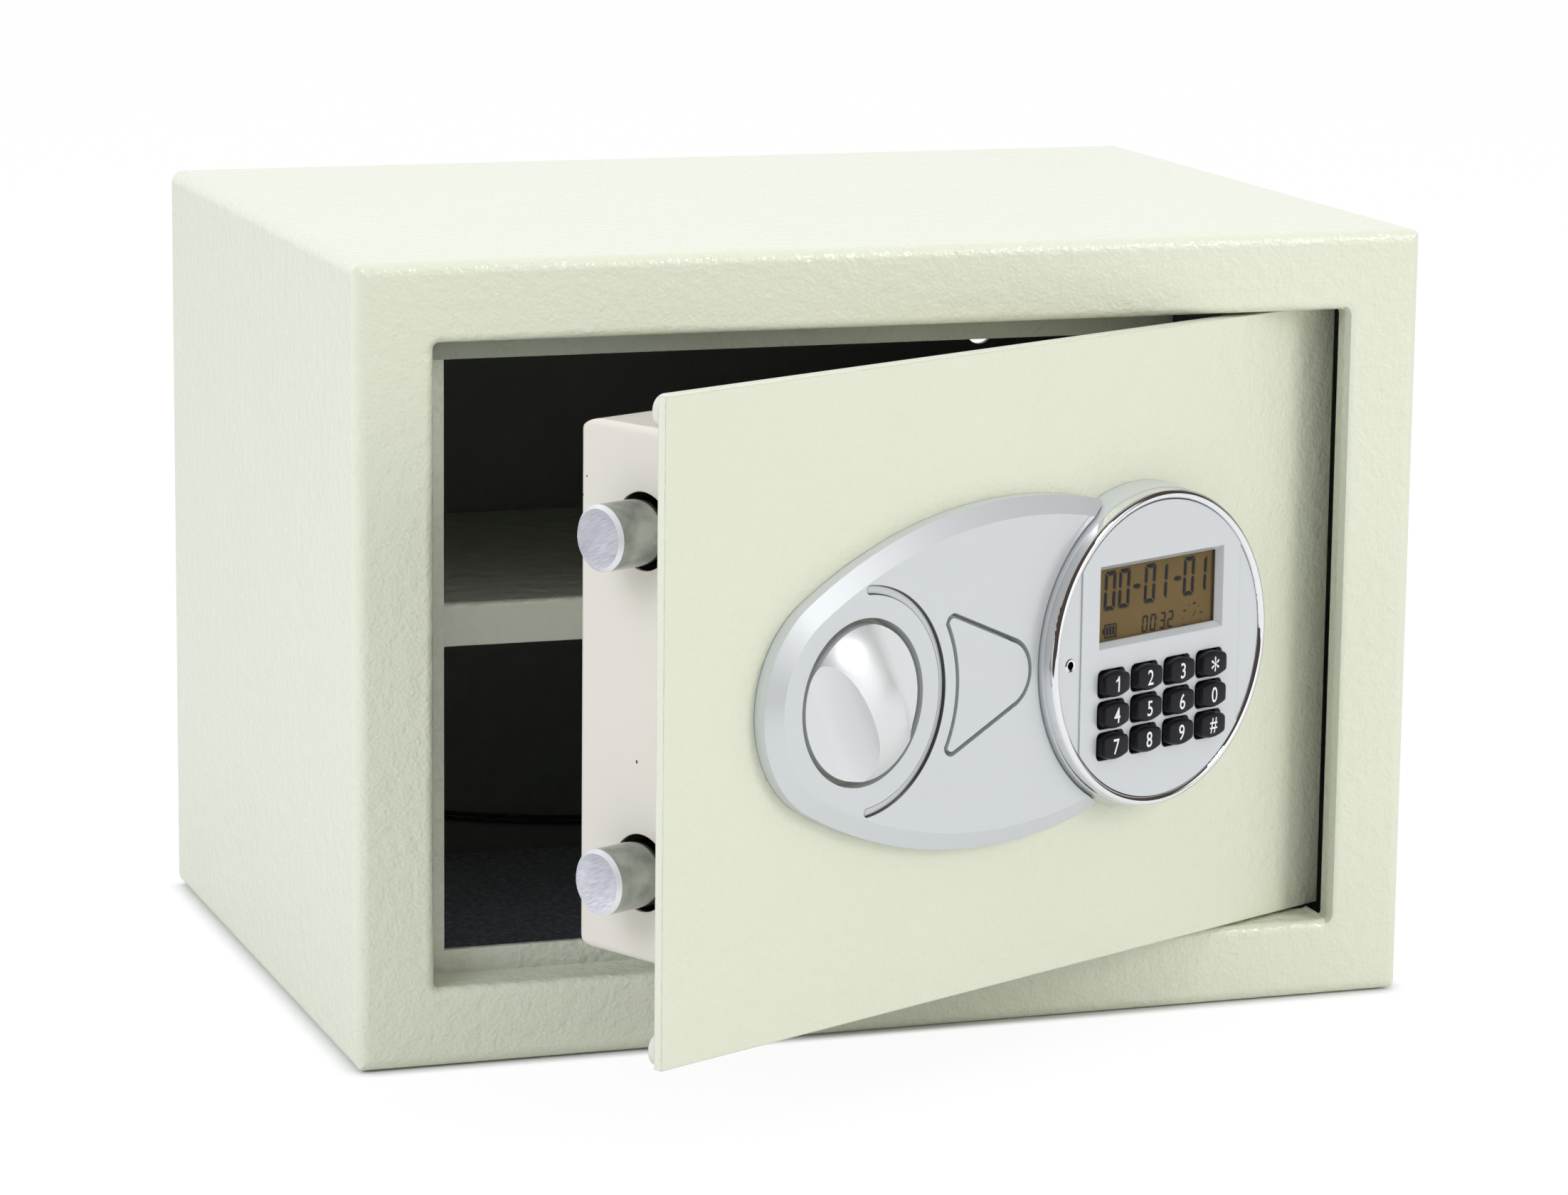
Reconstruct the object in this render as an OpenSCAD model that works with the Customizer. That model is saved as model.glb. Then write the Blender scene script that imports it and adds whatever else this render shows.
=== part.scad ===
// Home safe with a recessed steel door, an electronic keypad lock and two round bolts.
// The cabinet stands on its base. +Z is up, +Y points to the back, and the origin is the middle of
// the base's underside. The modules measure depth from the cabinet's front face, and in_cabinet()
// moves them to the origin. The door's modules are written for the closed door, and door_pose()
// swings them to the angle of the resting door as well.

/* [Cabinet] */
// Outside width of the cabinet
cab_w = 350; // [330:1:450]
// Outside depth of the cabinet
cab_d = 250; // [200:1:400]
// Outside height of the cabinet
cab_h = 250; // [240:1:350]
// Thickness of the cabinet's sheet steel
wall = 2; // [1.5:0.1:3]
// Outside radius of the cabinet's bends
bend_r = 4; // [3.2:0.1:6]

/* [Door opening] */
// Width of the front border around the opening
border = 25; // [20:0.5:30]
// Radius in the opening's corners
corner_r = 2; // [1:0.1:4]
// Radius of the bend from the front border into the opening
edge_r = 3; // [2.5:0.1:4]
// Depth of the recess, from the front border to the stop lips
recess_d = 17.5; // [17.2:0.1:22]
// How far the stop lips stand into the opening
lip_w = 7.5; // [5:0.1:8]
// Depth of the flange on the hinge side, where there is no stop lip
hinge_flange = 7; // [5:0.1:9]
// Stretch of the top and bottom edges beside the hinge that has no stop lip
lip_stop = 53; // [45:1:70]

/* [Door plate] */
// Gap beside the door plate, left and right
door_gap_x = 1.5; // [1:0.1:2.5]
// Gap above and below the door plate
door_gap_z = 1; // [0.8:0.1:2]
// Thickness of the door plate
door_t = 3; // [2.5:0.1:3.5]
// How far the closed door plate lies behind the front border
door_set = 11; // [10:0.1:11.5]
// Height of the two straps behind the plate's top and bottom edges
strap_w = 10; // [8.5:0.1:12]
// Thickness of the straps
strap_t = 2.5; // [2:0.1:3]
// Radius of the straps' corners
strap_r = 4.5; // [3:0.1:5]
// Angle at which the resting door stands open
rest_angle = 26; // [10:1:60]

/* [Hinge] */
// Distance of the pivot from the hinge edge of the opening
pivot_in = 20; // [19:0.1:24]
// Distance of the pivot behind the face of the door plate
pivot_back = 19; // [17:0.1:20]
// Diameter of the hinge pins
pin_d = 8; // [6:0.5:10]
// Radial running clearance of the pins in their seats
pin_fit = 0.05; // [0.02:0.01:0.1]
// Thickness of the ears that carry the pins
ear_t = 6; // [4:0.5:8]
// Radius of the ears round the pins
ear_r = 10; // [7:0.5:11]
// Thickness of the seat plates on the cabinet
seat_t = 4; // [3:0.5:6]
// Depth of the seat plates behind the recess
seat_d = 27; // [24:0.5:34]

/* [Bolt box] */
// Distance of the box from the free edge of the door plate
box_in = 26; // [26:0.5:30]
// Distance of the box from the hinge edge of the door plate
box_hinge_in = 52; // [48:0.5:60]
// Distance of the box from the top of the door plate
box_top_in = 16; // [14:0.5:20]
// Distance of the box from the bottom of the door plate
box_bottom_in = 21; // [16:0.5:26]
// Depth of the box behind the door plate
box_d = 61; // [60:0.5:66]
// Thickness of the box's sheet
box_t = 1.2; // [1:0.1:2]
// Radius of the long bends at the back of the box
box_r = 7; // [4:0.5:9]
// Radius of the other edges of the box
box_edge_r = 2.5; // [2.2:0.1:4]

/* [Bolts] */
// Diameter of the bolts
bolt_d = 20; // [16:0.5:20]
// Distance of each bolt's axis from the end of the door plate
bolt_end_in = 47.5; // [45:0.5:54]
// Depth of the bolts' axes behind the face of the door plate
bolt_back = 36.6; // [36:0.1:38]
// How far the drawn bolts stand out of the box
bolt_out = 18; // [12:0.1:18]
// Travel of the bolts
throw = 17; // [14:0.5:18]
// Length of a bolt
bolt_l = 58; // [56:0.5:62]
// Chamfer on the bolt's end
bolt_chamfer = 1.2; // [0.5:0.1:2]
// Gap round the bolt in the hole of the box
bolt_hole_gap = 1.75; // [0.5:0.05:2]
// Gap between the bolts and the parts that guide them
slide_gap = 0.3; // [0.25:0.01:0.5]
// Gap between a closed bolt and the edge that holds it
keeper_gap = 0.7; // [0.4:0.1:1.2]

/* [Boltwork] */
// Angle that the knob turns to throw the bolts
knob_turn = 90; // [60:1:100]
// Thickness of the bar that joins the bolts
bar_t = 2.5; // [2:0.1:3]
// Width of that bar
bar_w = 40; // [40:0.5:46]
// Diameter of the spindle behind the knob
spindle_d = 8; // [6:0.5:9]
// Diameter of the crank pin on the spindle's cam
crank_d = 5; // [4:0.5:6]
// Play of the crank pin in its slot, each side
crank_gap = 0.5; // [0.5:0.05:0.8]
// Thickness of the cam
cam_t = 3; // [2:0.5:4]
// Diameter of the posts that guide the bar
post_d = 6; // [5:0.5:7]
// Width of the solenoid's square body
coil_w = 15; // [12:0.5:16]
// Diameter of the solenoid's pin
coil_pin_d = 5; // [4:0.5:6]
// Height of the lock's parts above the middle of the cabinet
lock_rise = 0.7; // [0:0.1:3]

/* [Fascia] */
// Distance of the oval's middle from the free edge of the door plate
oval_in = 140; // [138:0.5:142]
// Half the length of the oval
oval_a = 103.7; // [100:0.1:106]
// Half the height of the oval
oval_b = 53.5; // [50:0.1:56]
// Radius of the oval's nose
nose_r = 36; // [32:0.5:40]
// Height of the fascia's face above the door plate
fascia_h = 7; // [6.5:0.1:8]
// Width of the sloping rim, seen from the front
rim_w = 5.6; // [4:0.1:6]
// Height of the sloping rim
rim_h = 2.8; // [1.5:0.1:3.5]
// Wall thickness of the plastic mouldings
skin = 2; // [1.6:0.1:2.4]
// Distance from the oval's middle to its cut end beside the keypad
oval_cut = 41; // [38:0.5:44]

/* [Knob] */
// Distance of the knob from the free edge of the door plate
knob_in = 74.8; // [73:0.1:76]
// Diameter of the knob's disc
knob_d = 47.2; // [42:0.1:48]
// Gap round the disc in its pocket
knob_gap = 1.9; // [1:0.1:2.5]
// Depth of the disc's face below the face of the fascia
knob_sink = 0.5; // [0:0.1:1]
// Height of the grip above the disc
grip_h = 11; // [9:0.1:13]
// Height of the grip at the disc's rim
grip_edge = 1.5; // [0.5:0.1:2]
// Width of the grip's crest
grip_w = 12.5; // [8:0.1:15]
// Radius of the scoops beside the grip
scoop_r = 10.4; // [7:0.1:11]
// Lean of the resting grip from upright
grip_lean = 26; // [0:1:45]
// Radius of the arc groove round the knob
groove_r = 33.8; // [32:0.1:35]
// Width of the arc groove
groove_w = 2.6; // [1.5:0.1:3]
// Depth of the arc groove
groove_d = 1; // [0.5:0.1:1.4]
// Angle that the arc groove runs through
groove_angle = 172; // [120:1:180]

/* [Override lock] */
// Radius, about the knob, of the key cover's hollow side
cover_side_r = 41.3; // [40.5:0.1:42]
// Distance of the key cover's left corners from the knob
cover_left = 38.5; // [38:0.1:40]
// Half the distance between the centres of those corners
cover_half = 18.5; // [16:0.1:19]
// Radius of those corners
cover_r = 2; // [1.8:0.1:3]
// Distance of the centre of the key cover's tip from the knob
cover_tip = 62; // [60:0.1:63]
// Radius of the tip
cover_tip_r = 10; // [8:0.1:11]
// Gap round the key cover
cover_gap = 1.5; // [0.5:0.1:2]
// Thickness of the key cover's walls
cover_t = 1.2; // [1:0.1:1.4]
// Distance of the lock from the knob
lock_off = 52; // [50:0.5:54]
// Diameter of the lock's body
lock_d = 16; // [14:0.5:17]
// Diameter of the lock's plug
plug_d = 10; // [8:0.5:11]
// Reach of the lock behind the face of the door plate
lock_l = 30; // [24:0.5:34]
// Length of the lever on the back of the plug
lever_l = 14; // [10:0.5:16]
// Thickness of the lever
lever_t = 2; // [1.5:0.1:3]
// Height of the keyhole in the plug
slot_h = 7; // [5:0.5:8]
// Width of the keyhole
slot_w = 1.2; // [1:0.1:1.6]
// Depth of the keyhole
slot_d = 20; // [15:1:25]

/* [Keypad housing] */
// Distance of the keypad's middle from the free edge of the door plate
pad_in = 202.3; // [200:0.1:204]
// Radius of the housing on the door plate
pad_base_r = 51.3; // [50.5:0.1:52]
// How far the bright ring lies inside the rim of the housing's base
ring_in = 1.3; // [1.1:0.1:2]
// Width of the bright ring
ring_w = 3.1; // [2.5:0.1:4]
// Height of the bright ring's crest above the door plate
ring_top = 12.6; // [12.2:0.1:14]
// Height of the ring's seat above the door plate
ring_seat = 8.6; // [8:0.1:9]
// Height of the keypad's face above the door plate
pad_h = 12; // [11.6:0.1:12.4]
// Thickness of the face plate
face_t = 2.4; // [2:0.1:2.6]
// Distance of the raised panel's sides from the rim of the face
panel_in = 9.8; // [8:0.1:12]
// Height of that panel
panel_h = 0.5; // [0.3:0.1:0.8]
// Distance of the power socket from the rim of the face
socket_in = 5.2; // [4.5:0.1:6.5]
// Radius of the socket's flange
socket_r = 2.2; // [1.8:0.1:2.6]
// Radius of the socket's hole
socket_hole_r = 1.3; // [1:0.1:1.6]

/* [Display] */
// Distance of the display's window from the sides of the raised panel
win_side_in = 8; // [7:0.5:12]
// Height of the display's window at the face
win_h = 26; // [22:0.5:27]
// Slope of the window's edges, seen from the front
win_bevel = 1.8; // [1:0.1:2.2]
// Distance of the window from the top of the face
win_top_in = 17.6; // [17:0.1:18.5]
// Thickness of the display's glass
glass_t = 1; // [0.8:0.1:1.5]
// Thickness of the display module behind the glass
module_t = 2.2; // [1.5:0.1:3]

/* [Keys] */
// Distance of the keys from the sides of the raised panel
key_side_in = 8.05; // [7:0.05:10]
// Space between the columns of keys
key_space_x = 3.3; // [2.9:0.1:4]
// Space between the rows of keys
key_space_z = 1.65; // [1.6:0.05:2]
// Distance of the top row's upper edge below the keypad's middle
key_top_in = 3.7; // [3.4:0.1:4.4]
// Distance of the bottom row's lower edge from the bottom of the face
key_bottom_in = 15.2; // [14.5:0.1:16]
// How far a key stands out of the face
key_out = 3; // [2:0.1:4]
// Gap round a key in the face
key_gap = 0.35; // [0.3:0.01:0.5]
// Radius of a key's long sides
key_arc = 13; // [10:0.5:20]
// Bevel round a key's top
key_bevel = 0.7; // [0.3:0.1:1]
// Travel of a key
key_travel = 1.5; // [0.8:0.1:2]

/* [Battery] */
// Diameter of a cell
cell_d = 14.5; // [13.5:0.5:15]
// Length of a cell
cell_l = 50.5; // [44:0.5:52]
// Distance of the battery compartment's middle from the box's hinge end
bat_in = 52; // [48:0.5:56]
// Thickness of the battery cover
bat_t = 1.8; // [1.5:0.1:2.5]
// Distance of the reset button from the box's hinge end
reset_in = 22; // [18:0.5:26]
// Distance of the reset button from the top of the box
reset_top_in = 27.3; // [24:0.1:30]
// Diameter of the reset button
reset_d = 6; // [4:0.5:8]

/* [Interior] */
// Thickness of the floor mat
mat_t = 3; // [2:0.5:5]
// Gap from the mat's edges to the cabinet's bends
mat_gap = 0.3; // [0.2:0.1:1]
// Gap round the shelf
loose_gap = 1; // [0.5:0.1:2]
// Height of the shelf's top above the base
shelf_z = 127.5; // [100:0.5:140]
// Depth of the shelf
shelf_d = 159; // [110:1:159]
// Thickness of the shelf's sheet
shelf_t = 1.5; // [1:0.1:2]
// Height of the flange along the shelf's front edge
shelf_flange = 14; // [10:0.5:20]
// Width of the rails under the shelf
rail_w = 12; // [8:0.5:16]
// Distance of the rails from the shelf's front and back edges
rail_in = 10; // [5:0.5:20]
// Diameter of the two leads
lead_d = 1.4; // [1:0.1:1.8]
// Height of the upper lead at the middle of the rear panel
lead_low = 14.5; // [13:0.5:20]
// Distance from the upper lead down to the lower lead
lead_split = 2; // [1.9:0.1:3]
// Rise of the leads from the middle to their ends
lead_rise = 26.5; // [10:0.5:40]
// Radius of the grommets at the leads' ends
grommet_r = 3; // [2.8:0.1:4]
// Length of the grommets
grommet_l = 2.5; // [2:0.1:4]
// Radius of the anchor holes in the rear panel
anchor_r = 5; // [4:0.5:7]
// Distance between the anchor holes
anchor_pitch = 240; // [200:1:280]
// Height of the anchor holes above the base
anchor_z = 185; // [160:1:200]

/* [Hidden] */
$fn = 64;
open_w = cab_w - 2*border;
open_h = cab_h - 2*border;
mid_z = cab_h/2;
door_w = open_w - 2*door_gap_x;
door_h = open_h - 2*door_gap_z;
door_x = -door_w/2;
door_z = border + door_gap_z;
door_back = door_set + door_t;
pivot = [open_w/2 - pivot_in, door_set + pivot_back];
lock_z = mid_z + lock_rise;
// the box behind the door
box_x0 = door_x + box_in;
box_x1 = -door_x - box_hinge_in;
box_z0 = door_z + box_bottom_in;
box_z1 = door_z + door_h - box_top_in;
box_y1 = door_back + box_d;
box_in_y = box_y1 - box_t;
// the bolts and the bar that joins them
bolt_y = door_set + bolt_back;
bolt_pitch = door_h - 2*bolt_end_in;
bolt_x0 = box_x0 - bolt_out;
bolt_x1 = bolt_x0 + bolt_l;
bolt_zs = [lock_z - bolt_pitch/2, lock_z + bolt_pitch/2];
bar_y = bolt_y + bolt_d/2 + 0.4;
bar_margin = 13;
ear_in_t = 3;
spigot_d = 8;
guide_x = bolt_x1 + 16.5;
guide_zs = [bolt_zs[0] + 2, bolt_zs[1] - 2];
bracket_x = box_x0 + 17.5;
bracket_t = 3;
// the knob's crank moves the bar by the throw while the knob makes its turn
knob_x = door_x + knob_in;
crank_r = throw/(2*sin(knob_turn/2));
crank_z = crank_r*cos(knob_turn/2);
cam_y = bar_y - 0.6 - cam_t;
coil_x = bolt_x1 + 16.5;
coil_z = lock_z - 26;
coil_gap = 0.6;
// the oval fascia is two wide arcs that run into the nose's arc
oval_x = door_x + oval_in;
nose_off = oval_a - nose_r;
wide_r = (nose_off*nose_off + oval_b*oval_b - nose_r*nose_r)/(2*(oval_b - nose_r));
wide_off = wide_r - oval_b;
pocket_r = knob_d/2 + knob_gap;
cover_floor = 2;
cover_seat = 0.3;
lock_x = knob_x + lock_off;
pad_x = door_x + pad_in;
// the keypad's ring, face, window and keys follow the housing's base
ring_r = pad_base_r - ring_in;
face_r = ring_r - ring_w - 0.1;
panel_half = face_r - panel_in;
socket_off = face_r - socket_in;
win_w = 2*(panel_half - win_side_in);
win_up = face_r - win_top_in - win_h/2;
key_w = (2*panel_half - 2*key_side_in - 3*key_space_x)/4;
key_h = (face_r - key_bottom_in - key_top_in - 2*key_space_z)/3;
key_dx = key_w + key_space_x;
key_dz = key_h + key_space_z;
key_row = key_top_in + key_h/2;
bat_x = box_x1 - bat_in;
bat_w = 4*cell_d + 3;
bat_h = cell_l + 4;
reset_x = box_x1 - reset_in;
reset_z = box_z1 - reset_top_in;
shelf_y = cab_d - wall - loose_gap - shelf_d;
key_cols = [-1.5, -0.5, 0.5, 1.5];
key_names = ["1", "2", "3", "star", "4", "5", "6", "0", "7", "8", "9", "hash"];
// the two leads hang along the foot of the rear panel, as [x, height] from the middle to one side
lead_y = cab_d - wall - grommet_r - 0.2;
lead_end = cab_w/2 - wall - grommet_l;
function hang(low) = [for (i = [0:5]) [lead_end*i/5, low + lead_rise*i*i/25]];
upper_route = hang(lead_low);
lower_route = hang(lead_low - lead_split);

// A rectangle whose corners have their own radii, in the order low-low, high-low, high-high, low-high
module rect4(a0, b0, a1, b1, r) {
    corner = [[a0, b0], [a1, b0], [a1, b1], [a0, b1]];
    inward = [[1, 1], [-1, 1], [-1, -1], [1, -1]];
    difference() {
        translate([a0, b0]) square([a1 - a0, b1 - b0]);
        for (i = [0:3]) if (r[i] > 0)
            translate(corner[i] + inward[i]*r[i]/2) difference() {
                square(r[i], center = true);
                translate(inward[i]*r[i]/2) circle(r[i]);
            }
    }
}

// A rounded rectangle about the origin
module soft_rect(w, h, r) rect4(-w/2, -h/2, w/2, h/2, [r, r, r, r]);

// The outline round a ring of circles [x, y, r], given anticlockwise. Its straight sides
// cross the circles a hair inside the tangent points.
function side_angle(a, b) = atan2(b.y - a.y, b.x - a.x) - acos((a[2] - b[2])/norm([b.x - a.x, b.y - a.y]));
function rim_point(c, t) = [c.x + (c[2] - 0.02)*cos(t), c.y + (c[2] - 0.02)*sin(t)];
module round_outline(c) {
    n = len(c);
    polygon([for (i = [0:n - 1]) let (a = c[i], b = c[(i + 1) % n], t = side_angle(a, b))
        each [rim_point(a, t), rim_point(b, t)]]);
    for (p = c) translate([p.x, p.y]) circle(p[2]);
}

// Extrudes an [x, z] drawing from y0 to y1
module slab(y0, y1) translate([0, y1, 0]) rotate([90, 0, 0]) linear_extrude(y1 - y0) children();

// Extrudes a [y, z] drawing from x0 to x1
module beam(x0, x1) translate([x0, 0, 0]) rotate([90, 0, 90]) linear_extrude(x1 - x0) children();

// A rod along y, from y0 to y1
module rod(x, z, y0, y1, r) translate([x, y1, z]) rotate([90, 0, 0]) cylinder(r = r, h = y1 - y0);

// Places children on the door plate's face: their z points out of the door, their y points up
module on_face(x, z) translate([x, door_set, z]) rotate([90, 0, 0]) children();

// Moves what is measured from the front face to the origin in the middle of the base
module in_cabinet() translate([0, -cab_d/2, 0]) children();

// Swings the closed door's pieces to the resting angle
module door_pose() in_cabinet() translate([pivot.x, pivot.y, 0]) rotate([0, 0, rest_angle])
    translate([-pivot.x, -pivot.y, 0]) children();

// A disc with a sloping rim
module rimmed_disc(r, h, w, drop)
    rotate_extrude() polygon([[0, 0], [r, 0], [r, h - drop], [r - w, h], [0, h]]);

// The cabinet's block, set in by t on every side, with its front edges bent
module cabinet_block(t) {
    w = cab_w/2 - t;
    r = bend_r - t;
    back = t > 0 ? cab_d + 1 : cab_d;
    intersection() {
        slab(t, back) rect4(-w, t, w, cab_h - t, [r, r, r, r]);
        translate([0, 0, t]) linear_extrude(cab_h - 2*t) rect4(-w, t, w, back, [r, r, 0, 0]);
        beam(-w, w) rect4(t, t, back, cab_h - t, [r, 0, 0, r]);
    }
}

// The opening's outline, grown by g
module opening(g) translate([0, mid_z]) soft_rect(open_w + 2*g, open_h + 2*g, corner_r + g);

// What the bend from the front border into the opening leaves away
module opening_bend() translate([0, 0, mid_z])
    for (s = [[0, open_w, open_h], [90, open_h, open_w], [180, open_w, open_h], [270, open_h, open_w]])
        rotate([0, s[0], 0]) {
            translate([s[1]/2, 0, -s[2]/2 + corner_r]) linear_extrude(s[2] - 2*corner_r) bend_waste(0);
            translate([s[1]/2 - corner_r, 0, corner_r - s[2]/2]) rotate([-90, 0, 0])
                rotate_extrude(angle = 90) bend_waste(corner_r);
        }
module bend_waste(from) difference() {
    translate([from, 0]) square(edge_r);
    translate([from + edge_r, edge_r]) circle(edge_r);
}

module cabinet_shell() color([0.87, 0.88, 0.81]) in_cabinet() difference() {
    union() {
        difference() {
            cabinet_block(0);
            cabinet_block(wall);
        }
        slab(0, recess_d) opening(wall);
    }
    slab(-1, recess_d + 1) opening(0);
    opening_bend();
    // the hinge side keeps only a short flange, so that the door's edge can swing in behind it
    translate([open_w/2 - 0.5, hinge_flange, border - wall - 1])
        cube([wall + 1, recess_d, open_h + 2*wall + 2]);
}

module rear_panel() color([0.62, 0.64, 0.57]) in_cabinet() slab(cab_d - wall, cab_d) difference() {
    translate([0, mid_z]) soft_rect(cab_w - 2*wall, cab_h - 2*wall, bend_r - wall);
    for (s = [-1, 1]) translate([s*anchor_pitch/2, anchor_z]) circle(anchor_r);
}

// The lock side's lip is bent back once more, and the thrown bolts close behind that edge
module lip_lock_side() color([0.78, 0.8, 0.72]) in_cabinet() {
    inner = -open_w/2 + lip_w;
    translate([0, 0, border + lip_w]) linear_extrude(open_h - 2*lip_w) {
        translate([-open_w/2 - wall, recess_d]) square([lip_w + wall, wall]);
        translate([inner - wall, recess_d + wall])
            square([wall, bolt_y - bolt_d/2 - keeper_gap - recess_d - wall]);
    }
}
module long_lip() slab(recess_d, recess_d + wall)
    translate([-open_w/2 - wall, 0]) square([open_w + wall - lip_stop, lip_w + wall]);
module lip_top() color([0.78, 0.8, 0.72]) in_cabinet() translate([0, 0, cab_h - border - lip_w]) long_lip();
module lip_bottom() color([0.78, 0.8, 0.72]) in_cabinet() translate([0, 0, border - wall]) long_lip();

module hinge_seats() color([0.7, 0.72, 0.66]) in_cabinet()
    for (z = [border - seat_t, cab_h - border]) translate([0, 0, z]) linear_extrude(seat_t) difference() {
        translate([open_w/2 - lip_stop, recess_d]) square([lip_stop, seat_d]);
        translate(pivot) circle(pin_d/2 + pin_fit);
    }

module floor_mat() color([0.15, 0.16, 0.21]) in_cabinet() translate([0, 0, wall]) linear_extrude(mat_t)
    rect4(-cab_w/2 + bend_r + mat_gap, recess_d + edge_r + mat_gap,
        cab_w/2 - bend_r - mat_gap, cab_d - wall - mat_gap, [2, 2, 2, 2]);

module shelf() color([0.6, 0.62, 0.55]) in_cabinet() {
    half = cab_w/2 - wall - loose_gap;
    back = shelf_y + shelf_d;
    beam(-half, half) difference() {
        rect4(shelf_y, shelf_z - shelf_flange, back, shelf_z, [0, 0, 0, shelf_t + 0.5]);
        rect4(shelf_y + shelf_t, shelf_z - shelf_flange - 1, back + 1, shelf_z - shelf_t, [0, 0, 0, 0.5]);
    }
}

module shelf_rails() color([0.6, 0.62, 0.55]) in_cabinet() for (s = [-1, 1]) {
    side = s*(cab_w/2 - wall);
    translate([min(side, side - s*rail_w), shelf_y + rail_in, shelf_z - shelf_t - shelf_t])
        cube([rail_w, shelf_d - 2*rail_in, shelf_t]);
    translate([min(side, side - s*shelf_t), shelf_y + rail_in, shelf_z - shelf_t - shelf_t - rail_w])
        cube([shelf_t, shelf_d - 2*rail_in, rail_w]);
}

module lead_grommets() color([0.1, 0.1, 0.1]) in_cabinet() for (s = [-1, 1])
    translate([s*lead_end, lead_y, (upper_route[5].y + lower_route[5].y)/2]) rotate([0, s*90, 0])
        rotate_extrude() polygon([[0, 0], [grommet_r - 0.8, 0], [grommet_r, 0.8], [grommet_r, grommet_l],
            [0, grommet_l]]);

// A lead is a round tube along a smooth curve through its route, mirrored to both sides
function whole(route) = concat([for (i = [len(route) - 1:-1:1]) [-route[i].x, route[i].y]], route);
function smooth(p, i, t) = let (n = len(p) - 1,
    a = p[max(i - 1, 0)], b = p[i], c = p[min(i + 1, n)], d = p[min(i + 2, n)])
    0.5*(2*b + (c - a)*t + (2*a - 5*b + 4*c - d)*t*t + (3*b - a - 3*c + d)*t*t*t);
module lead(route) {
    p = whole(route);
    steps = 3;
    path = [for (i = [0:len(p) - 2], k = [0:steps - 1]) smooth(p, i, k/steps), p[len(p) - 1]];
    last = len(path) - 1;
    sides = 8;
    points = [for (i = [0:last]) let (
        d = path[min(i + 1, last)] - path[max(i - 1, 0)],
        up = i == 0 || i == last ? [0, 1] : [-d.y, d.x]/norm(d))
        for (k = [0:sides - 1]) let (t = 360*(k + 0.5)/sides) [path[i].x + lead_d/2*sin(t)*up.x,
            lead_y + lead_d/2*cos(t), path[i].y + lead_d/2*sin(t)*up.y]];
    polyhedron(points = points, faces = concat([[for (k = [0:sides - 1]) k]],
        [for (i = [0:last - 1], k = [0:sides - 1]) let (a = i*sides + k, b = i*sides + (k + 1) % sides)
            each [[a, a + sides, b], [b, a + sides, b + sides]]],
        [[for (k = [sides - 1:-1:0]) last*sides + k]]));
}
module lead_upper() color([0.05, 0.05, 0.05]) in_cabinet() lead(upper_route);
module lead_lower() color([0.05, 0.05, 0.05]) in_cabinet() lead(lower_route);

module door_plate() color([0.9, 0.92, 0.84]) door_pose() slab(door_set, door_back) difference() {
    translate([door_x, door_z]) square([door_w, door_h]);
    translate([knob_x, lock_z]) circle(spindle_d/2 + 0.08);
    translate([lock_x, lock_z]) circle(lock_d/2 + 0.2);
    translate([pad_x, lock_z]) circle(9);
}

module door_straps() color([0.9, 0.84, 0.78]) door_pose() slab(door_back, door_back + strap_t) {
    x1 = -door_x - 3;
    for (z = [door_z, door_z + door_h - strap_w])
        rect4(door_x, z, x1, z + strap_w, [strap_r, strap_r, strap_r, strap_r]);
}

// An ear on each strap reaches back to the pivot and holds its pin
module hinge_ears() color([0.7, 0.7, 0.68]) door_pose()
    for (z = [door_z, door_z + door_h - ear_t]) translate([0, 0, z]) linear_extrude(ear_t) {
        y0 = door_back + strap_t;
        difference() {
            union() {
                translate([pivot.x - ear_r, y0]) square([2*ear_r, pivot.y - y0]);
                translate(pivot) circle(ear_r);
            }
            translate(pivot) circle(pin_d/2);
        }
    }

module hinge_pins() color([0.6, 0.6, 0.62]) door_pose() {
    l = ear_t + seat_t + door_gap_z + 2;
    for (up = [0, 1]) translate([pivot.x, pivot.y, up == 1 ? door_z + door_h - ear_t : door_z + ear_t])
        mirror([0, 0, 1 - up]) rotate_extrude()
            polygon([[0, 0], [pin_d/2, 0], [pin_d/2, l - 1], [pin_d/2 - 1, l], [0, l]]);
}

// The block of the box, set in by t
module box_block(t) {
    r = box_r - t;
    e = box_edge_r - t;
    y0 = t > 0 ? door_back - 1 : door_back;
    intersection() {
        beam(box_x0 + t, box_x1 - t) rect4(y0, box_z0 + t, box_y1 - t, box_z1 - t, [0, r, r, 0]);
        slab(y0, box_y1 - t) rect4(box_x0 + t, box_z0 + t, box_x1 - t, box_z1 - t, [e, e, e, e]);
        translate([0, 0, box_z0]) linear_extrude(box_z1 - box_z0)
            rect4(box_x0 + t, y0, box_x1 - t, box_y1 - t, [0, 0, e, e]);
    }
}
post_spots = [for (x = [box_x0 + 11, box_x1 - 11], z = [box_z0 + 9, box_z1 - 9]) [x, z]];

module bolt_box() color([0.92, 0.87, 0.82]) door_pose() difference() {
    box_block(0);
    box_block(box_t);
    for (z = bolt_zs) translate([box_x0 - 1, bolt_y, z]) rotate([0, 90, 0])
        cylinder(r = bolt_d/2 + bolt_hole_gap, h = box_t + 2);
    translate([bat_x - bat_w/2, box_in_y - 1, lock_z - bat_h/2]) cube([bat_w, box_t + 2, bat_h]);
    rod(reset_x, reset_z, box_in_y - 1, box_y1 + 1, reset_d/2 + 0.35);
    for (p = post_spots) rod(p.x, p.y, box_in_y - 1, box_y1 + 1, 2.1);
}

module box_posts() color([0.75, 0.75, 0.77]) door_pose() for (p = post_spots) difference() {
    rod(p.x, p.y, door_back, box_in_y, 4);
    rod(p.x, p.y, box_in_y - 10, box_in_y + 1, 2);
}

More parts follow.
